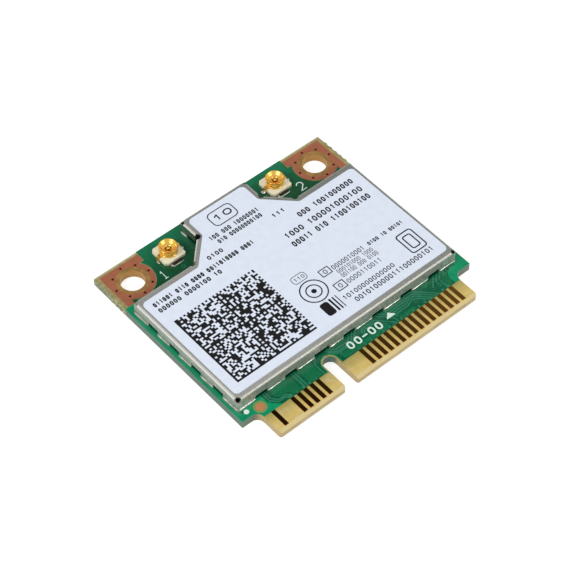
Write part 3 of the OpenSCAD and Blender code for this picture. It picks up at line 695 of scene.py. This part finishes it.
# %% Pours on the outer face
pours = [
    [(-10.62, -8.72), (-8.08, -8.72), (-8.08, -10.72), (-9.0, -10.72), (-9.4, -10.05), (-10.35, -10.05),
     (-10.62, -9.7)],
    [(-7.02, -8.72), (-5.75, -8.72), (-5.45, -9.25), (-5.42, -10.72), (-7.02, -10.72)],
    [(-2.5, -9.95), (-1.4, -9.95), (-1.4, -10.2), (3.4, -10.2), (3.75, -10.55), (3.75, -10.72),
     (-2.5, -10.72)],
    [(-2.35, -8.72), (-0.85, -8.72), (-1.1, -8.98), (-2.1, -8.98)],
    [(0.95, -8.72), (2.7, -8.72), (2.95, -8.95), (0.95, -8.95)],
    [(8.7, -8.72), (10.35, -8.72), (9.55, -9.5)],
    [(11.75, -8.72), (13.6, -8.72), (13.5, -9.0), (12.9, -9.12), (12.3, -9.5), (12.0, -10.1),
     (11.95, -10.72), (11.35, -10.72), (11.35, -9.6), (11.75, -9.2)],
    [(4.95, -10.28), (6.9, -10.28), (7.0, -10.72), (4.95, -10.72)],
]
relief_top = mask_top + PLANE              # where the pours, traces and white ink begin
films = [film(bent(outline, 0.18), relief_top, relief_top + FOIL) for outline in pours]
add_piece("mask_over_pours", together(films), pour_green)

# %% [markdown]
# ## Traces under the mask
#
# Each trace is a copper strip about 0.15 mm wide, and the mask over it stands
# up as a low ridge that catches the light along its flanks. A path with
# rounded bends is a few corner points, and the strip function carries a
# sloping section along it. Groups that run side by side are written once and
# shifted. At each contact a short stub leaves the mask's edge.

# %% Paths of the traces
def shifted(path, count, dx, dy):
    """The same path several times, each moved on by (dx, dy)."""
    return [np.asarray(path, float) + [k * dx, k * dy] for k in range(count)]


traces = [
    [(-11.38, -8.4), (-11.38, -9.75), (-10.75, -10.38), (-9.9, -10.38), (-9.65, -10.6), (-9.65, -10.8)],
    [(-11.1, -8.4), (-11.1, -9.62), (-10.6, -10.2), (-9.75, -10.2), (-9.3, -10.55), (-9.3, -10.8)],
    *shifted([(-7.72, -8.4), (-7.72, -10.8)], 2, 0.31, 0),
    [(-5.25, -10.8), (-5.25, -9.3), (-4.72, -8.72), (-4.3, -8.4)],
    [(-3.4, -8.4), (-2.5, -9.28), (-0.9, -9.28), (-0.1, -8.4)],
    [(-3.4, -8.72), (-2.6, -9.55), (-0.75, -9.55), (0.35, -8.4)],
    [(-3.3, -9.05), (-2.7, -9.75), (-0.6, -9.75), (0.7, -8.5)],
    [(0.75, -9.85), (1.25, -9.3), (2.6, -9.3), (3.75, -10.6), (3.75, -10.8)],
    [(0.75, -9.45), (1.15, -9.05), (2.75, -9.05), (4.15, -10.55), (4.15, -10.8)],
    [(2.95, -8.4), (4.5, -10.2), (4.5, -10.8)],
    [(3.3, -8.4), (4.85, -10.05), (4.85, -10.2)],
    *[[(3.9, -8.4), (4.4, -8.98 - d), (6.6, -8.98 - d), (7.1, -8.75 - d), (7.95 - d / 3, -8.75 - d),
       (9.9 - 1.27 * d, -10.7), (9.9 - 1.27 * d, -10.8)] for d in (0, 0.3, 0.6, 0.9)],
    [(11.0, -8.4), (11.0, -8.75), (9.95, -9.85)],
    [(11.4, -8.4), (11.4, -8.8), (10.72, -9.5), (10.72, -9.95)],
    [(11.72, -8.4), (11.72, -8.9), (11.17, -9.5), (11.17, -10.8)],
    *shifted([(12.35, -9.2), (12.35, -9.0), (12.75, -8.4)], 2, 0.35, 0.05),
]
print("traces:", len(traces))

# %% Traces and stubs
TRACE_W, STUB_W, FLANK = 0.15, 0.2, 0.035
lines = [strip(bent(path, 0.22, closed=False), TRACE_W, relief_top, FOIL, FLANK) for path in traces]
numbers = np.array([1, *range(7, 17, 2), *range(21, 53, 2)])
contact_x = np.where(numbers <= 15, -6.27 - (15 - numbers) * 0.4, -2.27 + (numbers - 17) * 0.4)
stubs = [strip([(x, -10.81), (x, -10.5)], STUB_W, relief_top, FOIL + 0.003, FLANK)
         for x in contact_x[1:]]
add_piece("mask_over_traces", together(lines + stubs), trace_green, smooth=30)
print("contacts:", len(contact_x), "first", contact_x[0], "last", contact_x[-1])

# %% [markdown]
# ## Vias under the mask
#
# A via that the mask covers is a small raised ring with a dimple, where the
# ink sank into the hole. It is a turned part: the profile climbs, rounds over
# and falls into the dimple. All of them are copies of one.

# %% Covered vias
a = np.linspace(0, np.pi, 7)
ring = np.column_stack([0.15 + 0.05 * np.cos(a), 0.009 * np.sin(a)])
via = turned(np.vstack([ring, [[0.1, -0.004], [0.2, -0.004]]]), 0, 0, 20)
dimple = turned([(0.001, -0.004), (0.1, -0.004), (0.1, 0.0015), (0.001, 0.0015)], 0, 0, 16)
via_places = [(-14.21, -9.11), (-9.72, -10.02), (-6.93, -9.02), (-5.6, -10.18), (-2.35, -10.08),
              (4.95, -9.95), (7.5, -10.02), (8.2, -9.85), (9.95, -9.92), (10.72, -10.0), (12.15, -9.25),
              (-10.5, -9.35), (-7.05, 8.7), (-11.0, 7.6), (10.0, 7.4), (-13.6, 7.5)]
places = [(x, y, relief_top) for x, y in via_places]
add_piece("covered_vias", repeat(via, places), trace_green, smooth=40)
# painted shade: the dimples are painted in the nearly black shade green
add_piece("via_dimples", repeat(dimple, places), shade_green, weld=True)

# %% [markdown]
# ## White marks
#
# The white ink is screen printed: a number beside each socket, a dot and a
# triangle that show where pin 1 and the key are, and a row of plain zeros. A
# stroke of ink is a strip along the stroke's path.

# %% Numbers, dot, triangle and zeros
def oval(x, y, half_x, half_y, power=2.0, steps=28):
    """A superellipse: |x / a| ^ p + |y / b| ^ p = 1, with a and b the half sizes."""
    t = np.linspace(0, 2 * np.pi, steps, endpoint=False)
    c, s = np.cos(t), np.sin(t)
    return np.stack([x + half_x * np.sign(c) * np.abs(c) ** (2 / power),
                     y + half_y * np.sign(s) * np.abs(s) ** (2 / power)], 1)


def two(x, y, width, height):
    """The path of a figure 2: an arch, a slanting run down, and a foot."""
    top = arc(x + width / 2, y + height - width / 2, width / 2, 165, -35, 12)
    return np.vstack([top, [(x, y), (x + width, y)]])


def one(x, y, width, height):
    """The path of a figure 1: a flag and a stem."""
    stem = x + 0.55 * width
    return np.array([(x + 0.12 * width, y + 0.78 * height), (stem, y + height), (stem, y)])


CODE_Y = -9.84                             # line that the zeros and the triangle stand on
marks = [
    strip(one(-9.48, 8.6, 0.36, 1.06), 0.1, relief_top, INK),
    strip([(-9.48, 8.58), (-9.08, 8.58)], 0.1, relief_top, INK),
    strip(two(8.62, 8.55, 0.68, 1.12), 0.12, relief_top, INK),
    film(bent([(3.74, CODE_Y), (4.95, CODE_Y), (4.38, -9.2)], 0.05), relief_top, relief_top + INK),
    film(oval(-13.87, -9.30, 0.27, 0.27), mask_top, relief_top + INK),
]
zero = strip(oval(0, 0, 0.26, 0.38, 2.6), 0.2, 0, INK, closed=True)
marks += [repeat(zero, [(x, CODE_Y, relief_top) for x in (-1.05, -0.08, 1.72, 2.66)]),
          strip([(0.5, CODE_Y), (1.12, CODE_Y)], 0.19, relief_top, INK)]
add_piece("white_marks", together(marks), white_ink)

# %% [markdown]
# ## Print on the label
#
# The print is generic: rows of zeros and ones with the weight, the length and
# the place of ordinary label text, plain frames and rings, and a block code of
# random squares that means nothing. A zero and a one are drawn once for each
# row and copied along it.

# %% Rows of zeros and ones
EDGE = 0.006                               # slope at the edge of a printed line
rng = np.random.default_rng(7)


def row_of_digits(words, x0, x1, y0, y1, stroke):
    """Digits spread evenly from x0 to x1, with a blank between words."""
    pattern = " ".join("".join(rng.choice(["0", "1"], n, p=[0.75, 0.25])) for n in words)
    pitch = (x1 - x0) / len(pattern)
    places = x0 + pitch * np.arange(len(pattern))
    chars = np.array(list(pattern))
    width, height = pitch * 0.8 - stroke, y1 - y0 - stroke
    round_path = oval(width / 2, height / 2, width / 2, height / 2, 2.5, 16)
    zero_glyph = strip(round_path, stroke, 0, PRINT, EDGE, closed=True)
    one_glyph = strip(one(0, 0, width, height), stroke, 0, PRINT, EDGE)
    made = []
    for glyph, char in ((zero_glyph, "0"), (one_glyph, "1")):
        at = places[chars == char]
        if len(at):
            made.append(repeat(glyph, [(x + stroke / 2, y0 + stroke / 2, label_top) for x in at]))
    return made


rows = [
    ((6, 4, 4, 10, 4), -13.25, -0.42, 5.29, 5.89, 0.144), ((6, 7, 2), -13.25, -5.28, 4.42, 5.01, 0.144),
    ((3, 3, 8), -3.64, 2.75, 8.32, 8.92, 0.124), ((3, 11), -3.19, 2.55, 7.52, 8.1, 0.124),
    ((4,), -5.41, -3.4, 6.52, 7.07, 0.132), ((3,), 3.1, 4.81, 6.52, 7.07, 0.132),
    ((3, 10), 5.21, 12.62, 4.87, 5.58, 0.156), ((4, 12), 2.33, 12.67, 3.46, 4.2, 0.156),
    ((5, 3, 10), 2.22, 12.63, 2.19, 2.94, 0.156), ((10,), 3.2, 7.47, -2.6, -1.99, 0.082),
    ((4, 2, 5), 7.99, 12.67, -2.54, -2.04, 0.113), ((9, 4), 3.25, 7.97, -3.28, -2.75, 0.062),
    ((6, 3, 4), 3.25, 8.08, -3.94, -3.38, 0.062), ((10,), 3.2, 7.76, -4.87, -4.28, 0.082),
    ((14,), 1.48, 8.27, -6.22, -5.65, 0.096), ((21,), 2.27, 12.67, -7.16, -6.53, 0.108),
]
digits = [glyphs for row in rows for glyphs in row_of_digits(*row)]
add_piece("label_digits", together(digits), label_ink)

# %% Frames and rings
def line_round(path, stroke):
    """A closed printed line along a path."""
    return strip(path, stroke, label_top, PRINT, EDGE, closed=True)


def box_path(x0, y0, x1, y1, radius=0.04):
    """A rectangle with rounded corners."""
    return bent([(x0, y0), (x1, y0), (x1, y1), (x0, y1)], radius, steps=3)


RINGS = (-0.11, -3.32)                     # middle of the rings
BARS = (-6.8, -5.04)                       # lower and upper end of the bars
label_print = label_top + PRINT
emblems = [
    line_round(box_path(-2.03, 9.41, 0.94, 11.31, 0.5), 0.12),
    line_round(box_path(-1.01, -1.58, 0.68, -0.62, 0.3), 0.07),
    line_round(oval(*RINGS, 1.42, 1.42, steps=48), 0.14),
    line_round(oval(*RINGS, 0.8, 0.8, steps=36), 0.14),
    film(oval(*RINGS, 0.28, 0.28), label_top, label_print),
    film(bent([(-1.03, BARS[0]), (-0.02, BARS[0]), (-0.02, BARS[1]), (-1.03, BARS[1])], 0.3),
         label_top, label_print),
    boxes([(x0, BARS[0], x1, BARS[1]) for x0, x1 in ((0.18, 0.4), (0.62, 0.78), (1.02, 1.12))],
          label_top, label_print),
    line_round(box_path(1.78, -2.63, 2.94, -1.73), 0.11),
    line_round(box_path(1.78, -4.97, 2.94, -3.99), 0.11),
    line_round(box_path(10.61, -6.21, 12.54, -3.46, 0.3), 0.15),
    line_round(box_path(11.09, -5.73, 12.06, -3.95, 0.2), 0.15),
]
for row in (((2,), -1.63, 0.83, 9.96, 10.81, 0.16), ((3,), -0.77, 0.58, -1.33, -0.88, 0.07),
            ((1,), 2.14, 2.69, -2.46, -1.9, 0.09), ((1,), 2.14, 2.69, -4.77, -4.19, 0.09)):
    emblems += row_of_digits(*row)
add_piece("label_emblems", together(emblems), label_ink)

# %% Block code of random squares
CODE = (-12.96, -7.01, -2.9, 2.79)         # its corners: x0, y0, x1, y1
SIDE = 44                                  # squares along each side
cells = rng.random((SIDE, SIDE)) < 0.54
half = SIDE // 2
edge = np.arange(SIDE)
for start in (0, half):                    # each half has two solid and two dotted borders
    cells[:, start], cells[start, :] = True, True
    cells[:, start + half - 1] = edge % 2 == 0
    cells[start + half - 1, :] = edge % 2 == 1
cells[:, 0], cells[0, :] = True, True
change = np.diff(np.pad(cells.astype(int), ((0, 0), (1, 1))), axis=1)
row_start, first = np.nonzero(change == 1)
_, last = np.nonzero(change == -1)
step_x, step_y = (CODE[2] - CODE[0]) / SIDE, (CODE[3] - CODE[1]) / SIDE
runs = np.column_stack([CODE[0] + first * step_x, CODE[1] + row_start * step_y,
                        CODE[0] + last * step_x, CODE[1] + (row_start + 1) * step_y])
add_piece("label_code", boxes(runs, label_top, label_print), label_ink)
print("code runs:", len(runs))

# %% [markdown]
# ## Solder along the can's feet
#
# Molten solder climbs a wetted wall and sets in a hollow curve. So the section
# is a quarter circle hollow to the outside, and its size wanders along the
# joint and dies away at both ends. The function below carries that section
# along each foot of the can.

# %% Hollow fillets
CAN = np.array([(-14.41, -8.68), (14.09, -8.68), (14.09, 7.325), (6.63, 7.325), (4.13, 9.825),
                (4.13, 12.525), (-4.37, 12.525), (-4.37, 9.825), (-6.87, 7.325), (-14.41, 7.325)])


def fillet(start, end, reach, climb, wander):
    """Solder along one foot. t goes along it and q round the hollow from the wall's height (0) to the
    outer toe (1): distance out = w (1 - cos 90q), height = h (1 - sin 90q). w and h fade as
    sin(180t) ^ 0.25 at the ends, swell to a lump near the start, and wander is a set of slow waves."""
    length = np.linalg.norm(end - start)
    n = max(8, int(length / 0.09))
    t = np.linspace(0.004, 0.996, n)
    fade = np.sin(np.pi * t) ** 0.25
    phase = wander.random(4) * 6.3
    waves = sum(0.09 * np.sin(t * length * f + p) for f, p in zip((2.1, 4.3, 7.7, 12.0), phase))
    lump = 1 + 0.8 * np.exp(-(t * length / 0.35 - 0.8) ** 2)
    w, h = reach * fade * lump * (1 + waves), climb * fade * lump * (1 - 0.8 * waves)
    q = np.linspace(0, np.pi / 2, 7)
    out = np.concatenate([np.full((n, 2), -0.03), w[:, None] * (1 - np.cos(q))], 1)
    up = np.concatenate([np.zeros((n, 1)), h[:, None], h[:, None] * (1 - np.sin(q))], 1)
    along = unit(end - start)
    normal = np.array([along[1], -along[0]])
    flat = start + (t * length)[:, None, None] * along + out[..., None] * normal
    points = np.concatenate([flat, LAND_TOP + up[..., None]], 2).reshape(-1, 3)
    m = out.shape[1]
    ends = [list(range(m)), list(range((n - 1) * m, n * m))[::-1]]
    return points, grid_faces(n, m, False, True).tolist() + ends


# %% Solder on every foot
GAPS = [(7, 3.77), (4, 3.35), (2, 3.6), (0, 0), (0, 0), (2, 3.6), (0, 0), (0, 0), (2, 3.6), (4, 3.35)]
GAP_W, WIDER = 1.5, 0.4                    # gaps per wall and their pitch; the third in front is wider
INSIDE = (3, 4, 7, 8)                      # corners where the outline turns inward: a slot parts the walls
SLOT, CORNER = 0.32, 0.05                  # what a foot stays clear of such a slot, and of any other corner
SIDE_FOOT = 1.1                            # the tab's sides stand on one foot each, at its back corner


def foot_ends(k, length, count, pitch):
    """The two ends of each foot of wall k, in millimetres from the wall's start, one pair a row."""
    if k == 4:
        return [(length - SIDE_FOOT, length - CORNER)]
    if k == 6:
        return [(CORNER, SIDE_FOOT)]
    middles = length / 2 + (np.arange(count) - (count - 1) / 2) * pitch
    after_gaps = middles + GAP_W / 2
    if k == 0:
        after_gaps[2] += WIDER
    first, last = (SLOT if n % len(CAN) in INSIDE else CORNER for n in (k, k + 1))
    ends = np.concatenate([[first], middles - GAP_W / 2, after_gaps, [length - last]])
    return np.sort(ends).reshape(-1, 2)


wander = np.random.default_rng(3)
joints = []
for k, (corner, following) in enumerate(zip(CAN, np.roll(CAN, -1, 0))):
    length = np.linalg.norm(following - corner)
    along = (following - corner) / length
    joints += [fillet(corner + start * along, corner + end * along, 0.12, 0.13, wander)
               for start, end in foot_ends(k, length, *GAPS[k])]
add_piece("shield_fillets", together(joints), solder, ["shield_solder"], smooth=50, weld=True)
print("soldered feet:", len(joints))

# %% [markdown]
# ## Antenna sockets
#
# Each socket is three parts. The base is a moulded square with cut corners
# and a soft top edge. The shell is drawn and plated: a flange on the base, a
# neck, and a rolled lip that the plug snaps over. The pin stands in the
# middle. Shell and pin are turned profiles; the base is a stack of outlines
# that draw in towards the top.

# %% Profiles of the shell and the pin
shell_profile = [(0.33, 0.45), (0.33, 0.8), (0.36, 0.85), (0.46, 0.885), (0.6, 0.94), (0.72, 1.03),
                 (0.8, 1.12), (0.86, 1.2), (0.91, 1.238), (0.945, 1.243), (0.975, 1.228), (0.993, 1.19),
                 (1.0, 1.14), (0.995, 1.07), (0.975, 1.02), (0.93, 0.98), (0.885, 0.95), (0.86, 0.9),
                 (0.86, 0.78), (0.865, 0.7), (0.88, 0.62), (0.905, 0.555), (0.94, 0.52), (0.965, 0.495),
                 (0.98, 0.46), (0.975, 0.42), (0.95, 0.402), (0.8, 0.402)]
pin_profile = [(0.001, 0.3), (0.19, 0.3), (0.2, 0.34), (0.2, 0.86), (0.19, 0.92), (0.165, 0.965),
               (0.12, 0.99), (0.06, 0.999), (0.001, 1.0)]
print("profile points:", len(shell_profile), "and", len(pin_profile))


# %% A foot of the shell
def foot(x, y, sign):
    """A shell foot: a bent strip that leaves the flange, turns down over the base's side and runs out on
    the board. Its path is in (distance from the axis, height), and its width runs along Y."""
    path = np.array([(0.85, 0.46), (1.22, 0.46), (1.31, 0.44), (1.355, 0.38), (1.36, 0.14),
                     (1.375, 0.075), (1.42, 0.05)])
    width = np.array([0.28, 0.24, 0.21, 0.2, 0.2, 0.2, 0.2])
    run = unit(np.gradient(path, axis=0))
    normal = np.stack([-run[:, 1], run[:, 0]], 1) * 0.045
    outer, inner = path + normal, path - normal
    corners = np.stack([outer, outer, inner, inner], 1)
    across = np.stack([-width, width, width, -width], 1)
    points = np.stack([x + sign * corners[..., 0], y + across, mask_top + corners[..., 1]], -1)
    last = 4 * (len(path) - 1)
    faces = np.vstack([grid_faces(len(path), 4, False, True), [[0, 1, 2, 3]],
                       [[last + 3, last + 2, last + 1, last]]])
    points = points.reshape(-1, 3)
    return points, outward(points, faces)


# %% A moulded base
BASE_H, BASE_W = 0.4, 2.6
CUT, WIDE_CUT = 0.14, 0.28                 # how far the base's four corners are cut off


def base_part(x, y):
    """A moulded base: rings of an octagon with rounded corners, drawn in a little at the bottom and
    near the top."""
    half = BASE_W / 2
    small, large = half - CUT, half - WIDE_CUT
    octagon = [(-large, -half), (small, -half), (half, -small), (half, large), (large, half),
               (-large, half), (-half, large), (-half, -large)]
    rings = []
    for pull, level in ((0.015, 0.0), (0.0, 0.04), (0.0, BASE_H - 0.06), (0.015, BASE_H - 0.02),
                        (0.05, BASE_H)):
        ring = bent(octagon, 0.1, steps=4) * (1 - pull / half)
        rings.append(np.column_stack([ring + [x, y], np.full(len(ring), mask_top + level)]))
    n = len(rings[0])
    faces = grid_faces(len(rings), n, False, True)[:, ::-1].tolist()
    top = list(range((len(rings) - 1) * n, len(rings) * n))
    return np.vstack(rings), faces + [list(range(n))[::-1], top]


# %% Two sockets
TAIL_T = 0.1                               # thickness of the pin's tail on the board
for name, (x, y) in SOCKETS.items():
    profile = np.array(shell_profile) + [0, mask_top]
    shell = together([turned(profile, x, y, 56), foot(x, y, -1), foot(x, y, 1)])
    add_piece(f"{name}_shell_turned", shell, bright_gold, [f"{name}_socket_shell"], smooth=40)
    pin = turned(np.array(pin_profile) + [0, mask_top], x, y, 28)
    add_piece(f"{name}_pin_turned", pin, bright_gold, [f"{name}_socket_pin"], smooth=40,
              weld=True)
    # painted shade: the tail box is dark and wide, as the shade under the base's front edge
    tail = boxes([(x - 0.66, y - 1.6, x + 0.56, y - 0.2)], mask_top + 0.002, mask_top + TAIL_T)
    add_piece(f"{name}_pin_tail", tail, tail_painted_shade)
    add_piece(f"{name}_base_moulded", base_part(x, y), cream_plastic,
              [f"{name}_socket_base"], smooth=35)

# %% [markdown]
# ## Solder at the sockets' feet
#
# Here the solder is a small uneven blob on each land. It is a dome on a
# square-ish outline: one parameter goes round, the other climbs from the rim
# to the top, and a few waves spoil its regularity.

# %% Solder blobs
def blob(x, y, half_x, half_y, height, wander):
    """Set solder on a land. At angle a and climb s from 0 to 1, the reach is cos(90s) of a
    superellipse, the height is sin(90s) ^ 0.7, and both are waved a little by the angle."""
    a = np.linspace(0, 2 * np.pi, 28, endpoint=False)[:, None]
    s = np.linspace(0, 1, 8)[None, :]
    phase = wander.random(3) * 6.3
    waves = zip((0.07, 0.06, 0.04), (2, 3, 5), phase)
    wave = 1 + sum(size * np.sin(turns * a + p) for size, turns, p in waves)
    square = (np.abs(np.cos(a)) ** 3.5 + np.abs(np.sin(a)) ** 3.5) ** (-1 / 3.5)
    reach = np.cos(s * np.pi / 2) * square * wave
    level = height * np.sin(s * np.pi / 2) ** 0.7 * (1 + 0.12 * np.sin(3 * a + phase[2]) * (1 - s))
    steps = np.stack([x + half_x * reach * np.cos(a), y + half_y * reach * np.sin(a), LAND_TOP + level], -1)
    centre = np.full((len(a), 1, 3), (x, y, LAND_TOP))
    points = np.concatenate([centre, steps], 1).reshape(-1, 3)
    return points, outward(points, grid_faces(len(a), s.size + 1, True, False))


AT_SOCKET = [(0, -1.66, 0.7, 0.09, 0.07), (-0.72, -1.52, 0.14, 0.16, 0.17), (1.5, 0.38, 0.14, 0.13, 0.15),
             (1.52, -0.3, 0.14, 0.2, 0.12)]   # each blob's place from the axis, half sizes and height
blobs = [blob(x + dx, y + dy, *sizes, wander) for x, y in SOCKETS.values() for dx, dy, *sizes in AT_SOCKET]
blobs += [blob(5.42, 10.96, 0.27, 0.24, 0.22, wander), blob(-8.68, 10.75, 0.13, 0.2, 0.08, wander)]
add_piece("socket_solder_blobs", together(blobs), solder, ["socket_solder"], smooth=60, weld=True)

# %% [markdown]
# ## The cut ends of the contacts
#
# The bevel at the tongue's tip is milled after plating, so each contact ends
# in a thin line of bare copper and nickel on the slope, painted near white as a
# painted highlight. Each is a small strip that lies on the bevel.

# %% Cut ends on the bevel
BEVEL_RUN, BEVEL_DROP = 0.4, 0.2           # the bevel's length along Y, and how far it falls
CUT_W, CUT_RUN, CUT_T = 0.46, 0.22, 0.008  # one cut end: width, length along Y, thickness
# painted highlight: the cut copper is painted near white instead of copper colour
cut_copper_highlight = finish("cut_copper_highlight", tone(250, 226, 200), roughness=0.35)
bright = mixed(cut_copper_highlight, grain(cut_copper_highlight, 0.08), tone(255, 240, 224), tone(240, 200, 164))
put(cut_copper_highlight, "Base Color", bright)
bevel_top = float(board_low[1]) + BEVEL_RUN
flat_ends = [(x - CUT_W / 2, bevel_top - CUT_RUN, x + CUT_W / 2, bevel_top) for x in contact_x]
points, faces = boxes(flat_ends, 0.0, CUT_T)
points[:, 2] += float(board_high[2]) - BEVEL_DROP / BEVEL_RUN * (bevel_top - points[:, 1])
add_piece("contact_cut_ends", (points, faces), cut_copper_highlight)

# %% [markdown]
# ## Snapped edges
#
# The card was broken out of a panel. Along the sides beside the screw holes
# the bridges to the panel left short rough stumps of bare laminate. Each is an
# ellipse that is half buried in the board's side.

# %% Stumps of the panel's bridges
snapped_finish = finish("snapped_laminate", tone(186, 180, 140), roughness=0.7)
rough_tone = patches(snapped_finish, 0.25, tone(124, 130, 84), tone(206, 200, 160), 0.4, 0.6)
put(snapped_finish, "Base Color", rough_tone)
relief(snapped_finish, grain(snapped_finish, 0.12), 0.04)
side_x = float(board_high[0]) - 0.01
stumps = [film(oval(x, y, half_x, 2 * half_x), 0.14, 0.93)
          for x, half_x, middles in ((-side_x, 0.1, (8.35, 8.95, 9.6, 10.3)),
                                     (side_x, 0.12, (8.9, 9.65, 10.4, 11.2, 12.0)))
          for y in middles]
add_piece("snapped_stumps", together(stumps), snapped_finish, smooth=40)

# %% [markdown]
# ## Floor, light and camera
#
# The card lies on a plain white surface under a soft sky, as in a light tent.
# A flat shiny thing shows what lies in its mirror direction, and there the
# tent has a dark opening: that is why gold contacts look brown and the coat
# keeps its deep green. The floor is an ordinary pale surface, lifted to white
# where the camera sees it, directly or in a reflection. It still takes the
# card's shadow.

# %% Floor
FLOOR_HALF, FLOOR_Z = 2, -0.02 * MM        # in metres; just below the card's underside
corners = [(x * FLOOR_HALF, y * FLOOR_HALF, FLOOR_Z) for x, y in ((-1, -1), (1, -1), (1, 1), (-1, 1))]
floor_mesh = bpy.data.meshes.new("floor")
floor_mesh.from_pydata(corners, [], [(0, 1, 2, 3)])
floor = bpy.data.objects.new("floor", floor_mesh)
bpy.context.scene.collection.objects.link(floor)
floor_finish = finish("floor_white", (0.5, 0.5, 0.5, 1), roughness=1.0, Specular_IOR_Level=0.0)
floor_mesh.materials.append(floor_finish)
rays = node(floor_finish, "LightPath").outputs
seen = sums(floor_finish, "ADD", rays["Is Camera Ray"], rays["Is Glossy Ray"])
seen = sums(floor_finish, "ADD", seen, rays["Is Transmission Ray"])
floor_shader = floor_finish.node_tree.nodes["Principled BSDF"]
floor_shader.inputs["Emission Color"].default_value = (1, 1, 1, 1)
put(floor_finish, "Emission Strength", sums(floor_finish, "MULTIPLY", seen, 0.7))
print("floor ready")

# %% Soft light
def world_light(level, patch, inner, outer, dark):
    """A sky of one level with a dark patch: the level rises smoothly from inner to outer degrees away
    from the patch's middle."""
    world = bpy.data.worlds.new("light_tent")
    bpy.context.scene.world = world
    world.use_nodes = True
    direction = node(world, "TexCoord").outputs["Generated"]
    middle = unit(np.array(patch)).tolist()
    along = node(world, "VectorMath", {0: direction, 1: middle}, operation="DOT_PRODUCT").outputs["Value"]
    start, end = (math.cos(math.radians(angle)) for angle in (outer, inner))
    inputs = {0: along, 1: start, 2: end, 3: level, 4: dark}
    value = node(world, "MapRange", inputs, interpolation_type="SMOOTHSTEP").outputs[0]
    background = world.node_tree.nodes["Background"]
    background.inputs["Color"].default_value = (1.0, 0.99, 0.97, 1)
    world.node_tree.links.new(value, background.inputs["Strength"])


def soft_lamp(name, place, size, power):
    """A square lamp that looks at the card."""
    data = bpy.data.lights.new(name, "AREA")
    data.size, data.energy, data.color = size, power, (1.0, 0.985, 0.96)
    lamp = bpy.data.objects.new(name, data)
    bpy.context.scene.collection.objects.link(lamp)
    lamp.location = place
    lamp.rotation_euler = (-Vector(place)).to_track_quat("-Z", "Y").to_euler()


world_light(0.7, (0.291, 0.459, 0.8395), 2, 21, 0.005)
soft_lamp("key", (-0.32, 0.02, 0.30), 0.13, 0.75)
soft_lamp("fill", (0.20, -0.30, 0.24), 0.22, 0.5)
print("lights ready")

# %% Camera
EYE = (-83.924, -98.636, 159.480)          # fitted to the photo, in millimetres
camera_data = bpy.data.cameras.new("camera")
camera_data.lens, camera_data.sensor_width, camera_data.clip_start = 127.72, 36.0, 0.01
camera = bpy.data.objects.new("camera", camera_data)
bpy.context.scene.collection.objects.link(camera)
bpy.context.scene.camera = camera
right = Vector((0.758392, -0.651759, -0.007171)).normalized()
up = Vector((0.509560, 0.585996, 0.630045)).normalized()
back = right.cross(up)
camera.matrix_world = Matrix([(right[k], up[k], back[k], EYE[k] * MM) for k in range(3)] + [(0, 0, 0, 1)])
bpy.context.scene.view_settings.view_transform = "Standard"
print("camera at", [round(c, 4) for c in camera.matrix_world.translation])

# %% The end
bpy.context.view_layer.update()
